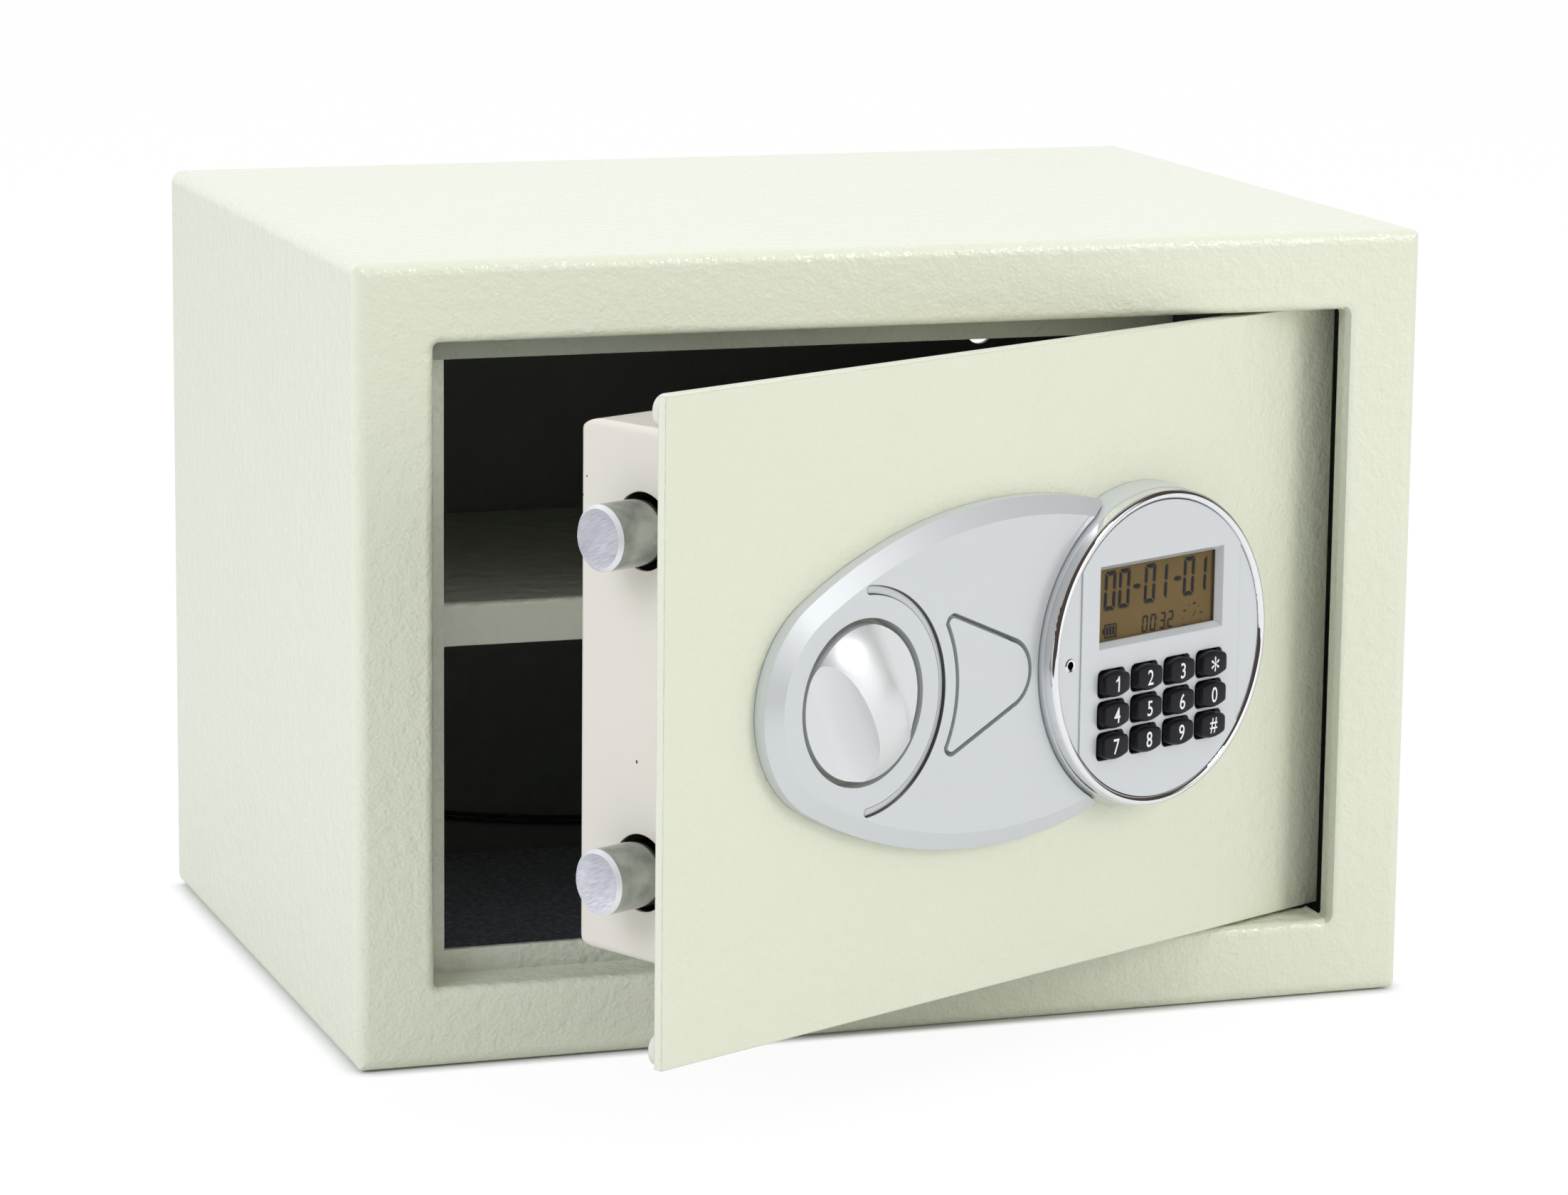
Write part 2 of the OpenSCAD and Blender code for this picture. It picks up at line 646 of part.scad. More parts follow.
module box_screws() color([0.8, 0.8, 0.82]) door_pose() for (p = post_spots)
    translate([p.x, box_in_y - 9, p.y]) rotate([-90, 0, 0]) rotate_extrude() {
        h = 9 + box_t;
        polygon([[0, 0], [2, 0], [2, h], [4, h], [4, h + 0.8], [3, h + 2], [0, h + 2]]);
    }

// The bracket on the door plate in which both bolts run
module bolt_bracket() color([0.72, 0.72, 0.74]) door_pose() {
    z0 = bolt_zs[0] - bolt_d/2 - 2;
    z1 = bolt_zs[1] + bolt_d/2 + 2;
    beam(bracket_x, bracket_x + bracket_t) difference() {
        rect4(door_back, z0, bolt_y + bolt_d/2 + 2, z1, [0, 3, 3, 0]);
        for (z = bolt_zs) translate([bolt_y, z]) circle(bolt_d/2 + slide_gap);
        translate([door_back + 12, lock_z - 22]) square([60, 44]);
    }
    translate([bracket_x + bracket_t, door_back, z0]) cube([9, bracket_t, z1 - z0]);
}

module bolt(z) color([0.75, 0.76, 0.78]) door_pose() translate([bolt_x0, bolt_y, z]) rotate([0, 90, 0])
    rotate_extrude() {
        r = bolt_d/2;
        h = bolt_l + ear_in_t;
        polygon([[0, 0], [r - bolt_chamfer, 0], [r, bolt_chamfer], [r, bolt_l],
            [spigot_d/2, bolt_l], [spigot_d/2, h + 1], [spigot_d/2 - 1, h + 2], [0, h + 2]]);
    }
module bolt_upper() bolt(bolt_zs[1]);
module bolt_lower() bolt(bolt_zs[0]);

// A long hole from one place to a second one to its right, of half width r
module long_hole(x, z, travel, r) {
    translate([x, z - r]) square([travel, 2*r]);
    for (s = [0, travel]) translate([x + s, z]) circle(r);
}

// The bar lies behind both bolts, and each bolt is riveted to an ear of it
module bolt_bar() color([0.7, 0.7, 0.72]) door_pose() {
    z0 = lock_z - bolt_pitch/2 - bar_margin;
    slab(bar_y, bar_y + bar_t) difference() {
        rect4(bolt_x1, z0, bolt_x1 + bar_w, 2*lock_z - z0, [0, 4, 4, 0]);
        translate([knob_x + crank_r*sin(knob_turn/2) - crank_d/2 - crank_gap,
            lock_z + crank_z - crank_d/2 - 0.6])
            square([crank_d + 2*crank_gap, crank_r - crank_z + crank_d + 1.2]);
        for (z = guide_zs) long_hole(guide_x, z, throw, post_d/2 + slide_gap);
        for (s = [0, throw]) translate([coil_x + s, coil_z]) circle(coil_pin_d/2 + slide_gap);
    }
    for (z = bolt_zs) beam(bolt_x1, bolt_x1 + ear_in_t) difference() {
        translate([bolt_y - bolt_d/2, z - bolt_d/2]) square([bar_y - bolt_y + bolt_d/2, bolt_d]);
        translate([bolt_y, z]) circle(spigot_d/2);
    }
}

// Two shouldered posts on the back of the box guide the bar by its long holes
module bolt_guides() color([0.8, 0.8, 0.82]) door_pose() for (z = guide_zs) {
    rod(guide_x, z, bar_y - slide_gap, bar_y + bar_t + slide_gap, post_d/2);
    rod(guide_x, z, bar_y + bar_t + slide_gap, box_in_y, post_d/2 + 2);
    rod(guide_x, z, bar_y - slide_gap - 2, bar_y - slide_gap, post_d/2 + 2);
}

module solenoid_body() color([0.25, 0.25, 0.28]) door_pose() {
    y1 = bar_y - 7;
    difference() {
        translate([coil_x - coil_w/2, door_back, coil_z - coil_w/2]) cube([coil_w, y1 - door_back, coil_w]);
        rod(coil_x, coil_z, y1 - 22, y1 + 1, coil_pin_d/2 + 0.1);
    }
}
module solenoid_pin() color([0.8, 0.8, 0.82]) door_pose()
    rod(coil_x, coil_z, bar_y - 7 - 14, bar_y - coil_gap, coil_pin_d/2);

// The tray sits behind the opening in the back of the box and holds four cells side by side
module battery_tray() color([0.12, 0.12, 0.13]) door_pose() difference() {
    translate([bat_x - bat_w/2 - 1.2, box_in_y - cell_d - 3, lock_z - bat_h/2 - 1.2])
        cube([bat_w + 2.4, cell_d + 3, bat_h + 2.4]);
    translate([bat_x - bat_w/2, box_in_y - cell_d - 1.5, lock_z - bat_h/2])
        cube([bat_w, cell_d + 3, bat_h]);
}
module cells() color([0.3, 0.32, 0.36]) door_pose() for (i = [0:3])
    translate([bat_x + (i - 1.5)*(cell_d + 0.4), box_in_y - cell_d/2 - 1.5, lock_z - cell_l/2])
        mirror([0, 0, i % 2]) translate([0, 0, i % 2 == 1 ? -cell_l : 0]) rotate_extrude()
            polygon([[0, 0], [cell_d/2, 0], [cell_d/2, cell_l - 1.5], [2.7, cell_l - 1.5],
                [2.7, cell_l], [0, cell_l]]);
module battery_cover() color([0.14, 0.14, 0.15]) door_pose() {
    y0 = box_y1;
    difference() {
        slab(y0, y0 + bat_t) translate([bat_x, lock_z]) soft_rect(bat_w + 6, bat_h + 6, 3);
        for (i = [-2:2]) translate([bat_x - 12, y0 + bat_t - 0.6, lock_z - bat_h/2 + 6 + 2.5*i - 0.6])
            cube([24, 1, 1.2]);
    }
    for (z = [lock_z + bat_h/2 - 2.5, lock_z - bat_h/2 + 0.5])
        translate([bat_x - bat_w/2 + 0.5, box_in_y + 0.1, z]) cube([bat_w - 1, box_t - 0.1, 2]);
}

module reset_button() color([0.75, 0.1, 0.1]) door_pose() {
    rod(reset_x, reset_z, box_in_y - 0.3, box_y1 + 1.6, reset_d/2);
    rod(reset_x, reset_z, box_in_y - 1.8, box_in_y - 0.3, reset_d/2 + 1.5);
}

// Everything to the right of the two lines on which the nose's arc meets the wide arcs
module beyond_nose(h) translate([0, 0, -1]) linear_extrude(h + 2) {
    d = [-nose_off, wide_off]*1.5*oval_b/wide_off;
    polygon([[-nose_off, 0], [-nose_off + d.x, -d.y], [oval_cut, -d.y], [oval_cut, d.y],
        [-nose_off + d.x, d.y]]);
}

// The oval, set in by t, with a sloping rim
module oval(t, h) {
    intersection() {
        translate([0, -wide_off, 0]) rimmed_disc(wide_r - t, h, rim_w, rim_h);
        translate([0, wide_off, 0]) rimmed_disc(wide_r - t, h, rim_w, rim_h);
        beyond_nose(h);
    }
    difference() {
        translate([-nose_off, 0, 0]) rimmed_disc(nose_r - t, h, rim_w, rim_h);
        beyond_nose(h);
    }
}

// The key cover's outline about the knob, grown by g
module cover_outline(g) difference() {
    round_outline([[cover_left, -cover_half, cover_r + g], [cover_tip, 0, cover_tip_r + g],
        [cover_left, cover_half, cover_r + g]]);
    circle(cover_side_r - g);
}

module fascia() color([0.85, 0.86, 0.89]) door_pose() on_face(oval_x, lock_z) {
    k = knob_x - oval_x;
    difference() {
        oval(0, fascia_h);
        difference() {
            translate([0, 0, -1]) oval(skin, fascia_h - skin + 1);
            translate([k, 0, -1]) cylinder(r = pocket_r + skin, h = fascia_h);
            translate([k, 0, -1]) linear_extrude(fascia_h) cover_outline(cover_gap + skin);
            translate([pad_x - oval_x, 0, -1]) cylinder(r = pad_base_r + 0.1 + skin, h = fascia_h);
            translate([oval_cut - skin, -oval_b, -1]) cube([skin, 2*oval_b, fascia_h]);
        }
        translate([k, 0, -1]) cylinder(r = pocket_r, h = fascia_h + 2);
        translate([k, 0, cover_floor]) linear_extrude(fascia_h) cover_outline(cover_gap);
        translate([k + lock_off, 0, -1]) cylinder(r = lock_d/2 + 0.2, h = fascia_h);
        translate([pad_x - oval_x, 0, -1]) cylinder(r = pad_base_r + 0.1, h = fascia_h + 2);
        translate([k, 0, fascia_h - groove_d]) {
            rotate([0, 0, -groove_angle/2]) rotate_extrude(angle = groove_angle)
                translate([groove_r - groove_w/2, 0]) square([groove_w, groove_d + 1]);
            for (s = [-1, 1]) rotate([0, 0, groove_angle/2*s]) translate([groove_r, 0, 0])
                cylinder(r = groove_w/2, h = groove_d + 1);
        }
    }
}

module key_cover() color([0.85, 0.86, 0.89]) door_pose() on_face(knob_x, lock_z) difference() {
    z0 = cover_floor + cover_seat;
    translate([0, 0, z0]) linear_extrude(fascia_h - z0) cover_outline(0);
    translate([0, 0, z0 - 1]) linear_extrude(fascia_h - z0 - cover_t + 1) cover_outline(-cover_t);
}

module lock_body() color([0.78, 0.76, 0.7]) door_pose() difference() {
    rod(lock_x, lock_z, door_set - cover_floor, door_set + lock_l, lock_d/2);
    rod(lock_x, lock_z, 0, door_set + lock_l + 1, plug_d/2 + 0.06);
}
module lock_plug() color([0.8, 0.7, 0.4]) door_pose() difference() {
    lever_y = door_set + lock_l + 0.5;
    union() {
        rod(lock_x, lock_z, door_set - cover_floor, lever_y + lever_t + 0.5, plug_d/2);
        slab(lever_y, lever_y + lever_t) translate([lock_x, lock_z])
            round_outline([[0, 0, plug_d/2 + 2], [0, lever_l, plug_d/2 - 1]]);
    }
    translate([lock_x - slot_w/2, door_set - cover_floor - 1, lock_z - slot_h/2])
        cube([slot_w, slot_d + 1, slot_h]);
}

// The housing is a shallow drum on the door plate, with a shoulder for the bright ring
module keypad_housing() color([0.84, 0.85, 0.88]) door_pose() on_face(pad_x, lock_z) rotate_extrude() {
    inner = ring_r - ring_w - skin;
    polygon([[inner, 0], [pad_base_r, 0], [pad_base_r, 1], [ring_r + 0.3, ring_seat - 0.4],
        [ring_r - 0.1, ring_seat], [ring_r - ring_w + 0.1, ring_seat],
        [ring_r - ring_w + 0.1, pad_h - face_t],
        [inner, pad_h - face_t]]);
}

// The bright ring has a half-round crest
module keypad_ring() color([0.9, 0.9, 0.92]) door_pose() on_face(pad_x, lock_z) rotate_extrude() {
    m = ring_r - ring_w/2;
    translate([m - ring_w/2 + 0.15, ring_seat]) square([ring_w - 0.15, ring_top - ring_seat - ring_w/2]);
    translate([m, ring_top - ring_w/2]) difference() {
        circle(ring_w/2);
        translate([-ring_w, -2*ring_w]) square([ring_w*2, ring_w*2]);
    }
}

// A key's outline, grown by g
module key_outline(g) intersection() {
    for (s = [-1, 1]) translate([0, s*(key_arc - key_h/2)]) circle(key_arc + g);
    soft_rect(key_w + 2*g, key_h + 2*g, 1.6 + g);
}
module key_at(i) translate([key_cols[i % 4]*key_dx, -key_row - floor(i/4)*key_dz, 0]) children();

module keypad_face() color([0.86, 0.87, 0.9]) door_pose() on_face(pad_x, lock_z) difference() {
    union() {
        translate([0, 0, pad_h - face_t]) cylinder(r = face_r, h = face_t - panel_h);
        intersection() {
            translate([0, 0, pad_h - panel_h - 0.01]) cylinder(r = face_r, h = panel_h + 0.01);
            translate([-panel_half, -face_r, 0]) cube([2*panel_half, 2*face_r, pad_h]);
        }
    }
    translate([0, win_up, 0]) hull() {
        translate([0, 0, pad_h + 0.1]) cube([win_w, win_h, 0.2], center = true);
        translate([0, 0, pad_h - face_t - 0.1])
            cube([win_w - 2*win_bevel, win_h - 2*win_bevel, 0.2], center = true);
    }
    for (i = [0:11]) key_at(i) linear_extrude(pad_h + 1) key_outline(key_gap);
    translate([-socket_off, 0, 0]) cylinder(r = socket_r - 0.5, h = pad_h + 1);
}

module display_glass() color([0.55, 0.5, 0.38]) door_pose() on_face(pad_x, lock_z)
    translate([0, win_up, pad_h - face_t - glass_t/2])
        cube([win_w - 2*win_bevel + 3, win_h - 2*win_bevel + 3, glass_t], center = true);
module display_module() color([0.3, 0.28, 0.22]) door_pose() on_face(pad_x, lock_z)
    translate([0, win_up, pad_h - face_t - glass_t - module_t/2])
        cube([win_w - 2*win_bevel + 3, win_h - 2*win_bevel + 3, module_t], center = true);
module keypad_board() color([0.1, 0.35, 0.2]) door_pose() on_face(pad_x, lock_z) {
    r = ring_r - ring_w - skin - 0.3;
    translate([0, 0, 2.6]) cylinder(r = r, h = 1.6);
    for (t = [45:90:315]) rotate([0, 0, t]) translate([r - 4, 0, 0]) cylinder(r = 3, h = 2.6);
    translate([-(win_w/2 - 4), win_up - 4, 4.2])
        cube([win_w - 8, 8, pad_h - face_t - glass_t - module_t - 4.2]);
}
module power_socket() color([0.7, 0.7, 0.72]) door_pose() on_face(pad_x - socket_off, lock_z)
    rotate_extrude() {
        base = pad_h - panel_h;
        polygon([[socket_hole_r, base + 0.2], [socket_r - 0.3, base + 0.3], [socket_r, base],
            [socket_r - 0.5, base], [socket_r - 0.5, base - face_t - 2], [socket_hole_r, base - face_t - 2]]);
    }

// A key has a bevelled head in the face and a wider foot behind it
module key(i) color([0.09, 0.09, 0.1]) door_pose() on_face(pad_x, lock_z) key_at(i) {
    top = pad_h + key_out;
    foot = pad_h - face_t - 1.2;
    intersection() {
        translate([0, key_arc - key_h/2, foot]) rimmed_disc(key_arc, top - foot, key_bevel, key_bevel);
        translate([0, key_h/2 - key_arc, foot]) rimmed_disc(key_arc, top - foot, key_bevel, key_bevel);
        translate([0, 0, foot]) linear_extrude(top - foot) soft_rect(key_w, key_h, 1.6);
    }
    translate([0, 0, foot]) linear_extrude(0.9) soft_rect(key_w + 1.8, key_h + 1, 1);
}

// The knob is a domed disc, and two wide scoops with round feet leave its grip standing
module knob() color([0.87, 0.88, 0.9]) door_pose() on_face(knob_x, lock_z) {
    r = knob_d/2;
    face = fascia_h - knob_sink;
    rise = grip_h - grip_edge;
    dome_r = (r*r + rise*rise)/(2*rise);
    difference() {
        intersection() {
            translate([0, 0, 0.8]) cylinder(r = r, h = face + grip_h);
            translate([0, 0, face + grip_h - dome_r]) sphere(dome_r);
        }
        rotate([0, 0, grip_lean]) for (s = [0, 1]) mirror([s, 0, 0]) rotate([90, 0, 0])
            linear_extrude(3*r, center = true) {
                translate([grip_w/2 + scoop_r, face + scoop_r]) circle(scoop_r);
                translate([grip_w/2 + scoop_r, face]) square([r, 2*grip_h]);
                translate([grip_w/2, face + scoop_r]) square([r, 2*grip_h]);
            }
    }
}
module knob_spindle() color([0.7, 0.7, 0.72]) door_pose()
    rod(knob_x, lock_z, door_set - 0.8, cam_y + cam_t - 0.5, spindle_d/2);
module knob_cam() color([0.65, 0.65, 0.67]) door_pose() {
    t = 90 - knob_turn/2;
    c = [crank_r*cos(t), crank_r*sin(t)];
    slab(cam_y, cam_y + cam_t) translate([knob_x, lock_z]) difference() {
        round_outline([[0, 0, spindle_d/2 + 4], [c.x, c.y, crank_d/2 + 1.5]]);
        circle(spindle_d/2);
    }
    rod(knob_x + c.x, lock_z + c.y, cam_y + cam_t, bar_y + bar_t + 1, crank_d/2);
}

cabinet_shell();
rear_panel();
lip_lock_side();
lip_top();
lip_bottom();
hinge_seats();
floor_mat();
shelf();
shelf_rails();
lead_grommets();
lead_upper();
lead_lower();
door_plate();
door_straps();
hinge_ears();
hinge_pins();
bolt_box();
box_posts();
box_screws();
bolt_bracket();
bolt_guides();
solenoid_body();
solenoid_pin();
battery_tray();
cells();
battery_cover();
reset_button();
fascia();
key_cover();
lock_body();
lock_plug();
keypad_housing();
keypad_ring();
keypad_face();
display_glass();
display_module();
keypad_board();
power_socket();
knob();
knob_spindle();
knob_cam();
bolt_upper();
bolt_lower();
bolt_bar();
for (i = [0:11]) key(i);
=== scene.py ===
import math
import random

import bmesh
import bpy
from mathutils import Matrix, Vector


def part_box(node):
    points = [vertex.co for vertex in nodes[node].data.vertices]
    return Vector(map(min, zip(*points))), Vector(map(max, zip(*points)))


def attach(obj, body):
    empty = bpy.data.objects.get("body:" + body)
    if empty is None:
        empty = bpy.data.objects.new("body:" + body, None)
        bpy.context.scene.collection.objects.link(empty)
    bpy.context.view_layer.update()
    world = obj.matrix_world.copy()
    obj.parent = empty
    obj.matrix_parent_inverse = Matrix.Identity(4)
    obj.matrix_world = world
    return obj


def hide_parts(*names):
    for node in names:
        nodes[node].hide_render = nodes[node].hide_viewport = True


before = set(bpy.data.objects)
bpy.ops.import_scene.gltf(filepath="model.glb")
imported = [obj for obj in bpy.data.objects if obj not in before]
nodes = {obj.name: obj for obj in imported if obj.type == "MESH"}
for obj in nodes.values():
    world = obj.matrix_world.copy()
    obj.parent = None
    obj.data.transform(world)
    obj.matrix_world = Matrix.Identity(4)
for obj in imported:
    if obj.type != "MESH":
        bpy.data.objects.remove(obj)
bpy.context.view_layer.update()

# Camera
# A long lens a little above the safe and to its left, as the photograph was taken.
# Its place and turn were fitted to the corners of a 350 x 250 x 250 mm cabinet.
turn, tilt, roll = 0.330734, 0.192918, 0.0114075
eye = (-0.56433, -1.65661, 0.45811)
sensor_mm, focal_px, picture_px = 36, 7497.5, 2204
ahead = Vector((math.sin(turn) * math.cos(tilt), math.cos(turn) * math.cos(tilt), -math.sin(tilt)))
level = Vector((math.cos(turn), -math.sin(turn), 0))
upright = level.cross(ahead)
right = level * math.cos(roll) + upright * math.sin(roll)
above = upright * math.cos(roll) - level * math.sin(roll)
camera = bpy.data.objects.new("camera", bpy.data.cameras.new("camera"))
camera.data.sensor_width = sensor_mm
camera.data.lens = sensor_mm * focal_px / picture_px
camera.data.clip_start = 0.05
camera.matrix_world = Matrix((
    (right.x, above.x, -ahead.x, eye[0]),
    (right.y, above.y, -ahead.y, eye[1]),
    (right.z, above.z, -ahead.z, eye[2]),
    (0, 0, 0, 1)))
bpy.context.scene.collection.objects.link(camera)
bpy.context.scene.camera = camera

# Leads
# Two thin sleeved wires from the lock's supply hang in shallow arcs along the foot of the rear
# panel. Each end goes into a rubber grommet at the side wall.
lead_y, lead_d = 0.1198, 0.0014
lead_reach, lead_rise, lead_spans = 170.5, 26.5, 5


def add(tree, kind, values=(), **settings):
    """Adds a shader node. settings are its own, and values are its inputs' by name or number."""
    made = tree.nodes.new("ShaderNode" + kind)
    for key, value in settings.items():
        setattr(made, key, value)
    for key, value in dict(values).items():
        made.inputs[key].default_value = value
    return made


def join(tree, *links):
    """Joins nodes. A link is a node, its output, the next node and its input."""
    for source, out, target, into in links:
        tree.links.new(source.outputs[out], target.inputs[into])


def plain(name, color, roughness, metallic=0.0, **values):
    """A material with one even colour. Other inputs are given by name, with _ for each space."""
    material = bpy.data.materials.new(name)
    material.use_nodes = True
    shader = material.node_tree.nodes["Principled BSDF"]
    shader.inputs["Base Color"].default_value = (*color, 1)
    shader.inputs["Roughness"].default_value = roughness
    shader.inputs["Metallic"].default_value = metallic
    for key, value in values.items():
        shader.inputs[key.replace("_", " ")].default_value = value
    return material, material.node_tree, shader


def smooth_route(half, steps):
    """A smooth curve through a route and its mirror image in x."""
    points = [Vector((-x, z)) for x, z in half[:0:-1]] + [Vector(p) for p in half]
    last = len(points) - 1
    curve = []
    for i in range(last):
        a, b, c, d = points[max(i - 1, 0)], points[i], points[i + 1], points[min(i + 2, last)]
        for k in range(steps):
            t = k / steps
            curve.append(0.5 * (2 * b + (c - a) * t + (2 * a - 5 * b + 4 * c - d) * t * t
                                + (3 * b - a - 3 * c + d) * t * t * t))
    return curve + [points[-1]]


sleeve_black, tree, shader = plain("sleeve_black", (0.012, 0.012, 0.014), 0.18, Coat_Weight=0.5)
place = add(tree, "TexCoord")
scuff = add(tree, "TexNoise", {"Scale": 900})
smear = add(tree, "MapRange", {"To Min": 0.12, "To Max": 0.3})
join(tree, (place, "Object", scuff, "Vector"), (scuff, "Fac", smear, "Value"),
     (smear, "Result", shader, "Roughness"))

for lead, low in (("lead_upper", 14.5), ("lead_lower", 12.5)):
    half = [(lead_reach * i / lead_spans, low + lead_rise * i * i / lead_spans ** 2)
            for i in range(lead_spans + 1)]
    path = smooth_route(half, 6)
    wire = bpy.data.curves.new(lead + "_wire", "CURVE")
    wire.dimensions = "3D"
    wire.bevel_depth = lead_d / 2
    wire.bevel_resolution = 4
    spline = wire.splines.new("POLY")
    spline.points.add(len(path) - 1)
    for point, p in zip(spline.points, path):
        point.co = (p.x / 1000, lead_y, p.y / 1000, 1)
    wire.materials.append(sleeve_black)
    hung = bpy.data.objects.new(lead + "_wire", wire)
    bpy.context.scene.collection.objects.link(hung)
    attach(hung, "cabinet")
    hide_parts(lead)

# Cabinet shell and lips
# Bent and welded 2 mm sheet steel, sprayed with a pale cream-green powder coat whose surface has
# a fine orange peel. Behind the lips the shell is coloured dark grey, so that space looks dark.
cream, cream_cloud = (0.80, 0.825, 0.675), (0.775, 0.80, 0.645)
inner_grey = (0.18, 0.19, 0.165)
jamb_painted_shade = (0.50, 0.53, 0.42)
peel = bpy.data.node_groups.new("orange peel", "ShaderNodeTree")
for name, kind, way in (("Position", "NodeSocketVector", "INPUT"),
                        ("Size", "NodeSocketFloat", "INPUT"),
                        ("Height", "NodeSocketFloat", "OUTPUT")):
    peel.interface.new_socket(name=name, in_out=way, socket_type=kind)
enter, leave = peel.nodes.new("NodeGroupInput"), peel.nodes.new("NodeGroupOutput")
fine = add(peel, "TexNoise", {"Detail": 1.5, "Roughness": 0.45})
flow = add(peel, "TexNoise", {"Detail": 1.0})
flow_size = add(peel, "Math", {1: 0.28}, operation="MULTIPLY")
height = add(peel, "Math", {1: 1.6}, operation="MULTIPLY_ADD")
join(peel, (enter, "Position", fine, "Vector"), (enter, "Size", fine, "Scale"),
     (enter, "Position", flow, "Vector"), (enter, "Size", flow_size, 0),
     (flow_size, 0, flow, "Scale"), (flow, "Fac", height, 0), (fine, "Fac", height, 2),
     (height, 0, leave, "Height"))


def soften(tree, bump, radius, samples=4):
    """Rounds the sharp edges of a piece in its shading."""
    round_edge = add(tree, "Bevel", {"Radius": radius}, samples=samples)
    join(tree, (round_edge, "Normal", bump, "Normal"))


def coat(name, color, cloud, roughness, size, depth, edge=0.0, gloss=0.15):
    """A sprayed coat: a slightly cloudy colour over an orange-peel bump with softened edges."""
    material, tree, shader = plain(name, color, roughness, Coat_Weight=gloss, Coat_Roughness=0.06)
    place = add(tree, "TexCoord")
    clouds = add(tree, "TexNoise", {"Scale": 22, "Detail": 4})
    shade = add(tree, "Mix", {"A": (*color, 1), "B": (*cloud, 1)}, data_type="RGBA")
    grain = add(tree, "Group", {"Size": size}, node_tree=peel)
    bump = add(tree, "Bump", {"Strength": 1.0, "Distance": depth})
    join(tree, (place, "Object", clouds, "Vector"), (clouds, "Fac", shade, "Factor"),
         (shade, "Result", shader, "Base Color"), (place, "Object", grain, "Position"),
         (grain, "Height", bump, "Height"), (bump, "Normal", shader, "Normal"),
         (bump, "Normal", shader, "Coat Normal"))
    if edge:
        soften(tree, bump, edge)
    return material


def dress(material, *names):
    """Gives one material to CAD nodes."""
    for name in names:
        data = nodes[name].data
        data.materials.clear()
        data.materials.append(material)


def all_of(tree, *tests):
    """A mask where every test holds. A test is a node, its output, a comparison and a limit."""
    mask = None
    for source, out, comparison, limit in tests:
        test = add(tree, "Math", {1: limit}, operation=comparison)
        join(tree, (source, out, test, 0))
        if mask is not None:
            both = add(tree, "Math", operation="MULTIPLY")
            join(tree, (mask, 0, both, 0), (test, 0, both, 1))
            test = both
        mask = test
    return mask


cream_coat = coat("cream_coat", cream, cream_cloud, 0.36, 700, 0.0003, edge=0.0006)
lip_coat = coat("lip_coat", (0.74, 0.765, 0.66), (0.60, 0.63, 0.53), 0.34, 420, 0.0008,
                edge=0.0003, gloss=0.3)
# the top lip's darker coat is painted shade under the top border
shaded_lip = coat("shaded_lip", (0.42, 0.45, 0.375), (0.30, 0.33, 0.27), 0.4, 380, 0.0009,
                  edge=0.0003)

# behind the lips the shell is coloured dark grey, and on the jamb beside the hinges its cream is
# darkened with painted shade
shell_coat = coat("shell_coat", cream, cream_cloud, 0.36, 800, 0.00036, gloss=0.35)
tree = shell_coat.node_tree
shader = tree.nodes["Principled BSDF"]
outside = shader.inputs["Base Color"].links[0].from_node
place, parts = add(tree, "TexCoord"), add(tree, "SeparateXYZ")
across = add(tree, "Math", operation="ABSOLUTE")
join(tree, (place, "Object", parts, 0), (parts, "X", across, 0))
inside = all_of(tree, (parts, "Y", "GREATER_THAN", -0.1062), (across, 0, "LESS_THAN", 0.1732),
                (parts, "Z", "GREATER_THAN", 0.0018), (parts, "Z", "LESS_THAN", 0.2482))
# the jamb's darker tone is painted shade
jamb_shade_mask = all_of(tree, (parts, "Y", "GREATER_THAN", -0.1245), (parts, "X", "GREATER_THAN", 0.1490),
              (parts, "X", "LESS_THAN", 0.1515), (parts, "Z", "GREATER_THAN", 0.0240),
              (parts, "Z", "LESS_THAN", 0.2260))
inside_grey_mix = add(tree, "Mix", {"B": (*inner_grey, 1)}, data_type="RGBA")
with_jamb_shade = add(tree, "Mix", {"B": (*jamb_painted_shade, 1)}, data_type="RGBA")
join(tree, (inside, 0, inside_grey_mix, "Factor"), (outside, "Result", inside_grey_mix, "A"),
     (jamb_shade_mask, 0, with_jamb_shade, "Factor"), (inside_grey_mix, "Result", with_jamb_shade, "A"),
     (with_jamb_shade, "Result", shader, "Base Color"))
dress(shell_coat, "cabinet_shell")
dress(lip_coat, "lip_lock_side", "lip_bottom")
dress(shaded_lip, "lip_top")

# Rear panel, hinge seats and shelf rails
# Flat sheet welded in behind the shell, two drilled plates under the recess, and the rails. They
# are coloured the same dark grey as the inside of the shell.
inside_dark_grey = coat("inside_dark_grey", inner_grey, (0.12, 0.135, 0.115), 0.5, 500, 0.0003)
dress(inside_dark_grey, "rear_panel", "shelf_rails", "hinge_seats")

# Shelf
# A folded sheet with a deep front flange, coated cream like the cabinet. Its coat is a little
# greyer in places.
shelf_coat = coat("shelf_coat", (0.80, 0.83, 0.70), (0.72, 0.75, 0.63), 0.4, 420, 0.0005,
                  edge=0.0005)
dress(shelf_coat, "shelf")

# Floor mat
# A loose rectangle of dark navy needle felt, 3 mm thick, cut to the floor of the cabinet. Its
# edges are a little rounded, and its top is slightly uneven.
felt_dark, felt_light = (0.012, 0.014, 0.024), (0.20, 0.24, 0.40)
mat_low, mat_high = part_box("floor_mat")
mat_size = (mat_high[0] - mat_low[0], mat_high[1] - mat_low[1])
mat_columns, mat_rows = 150, 100
mat_sink, mat_edge, mat_wave = 0.0003, 0.0008, 0.00012


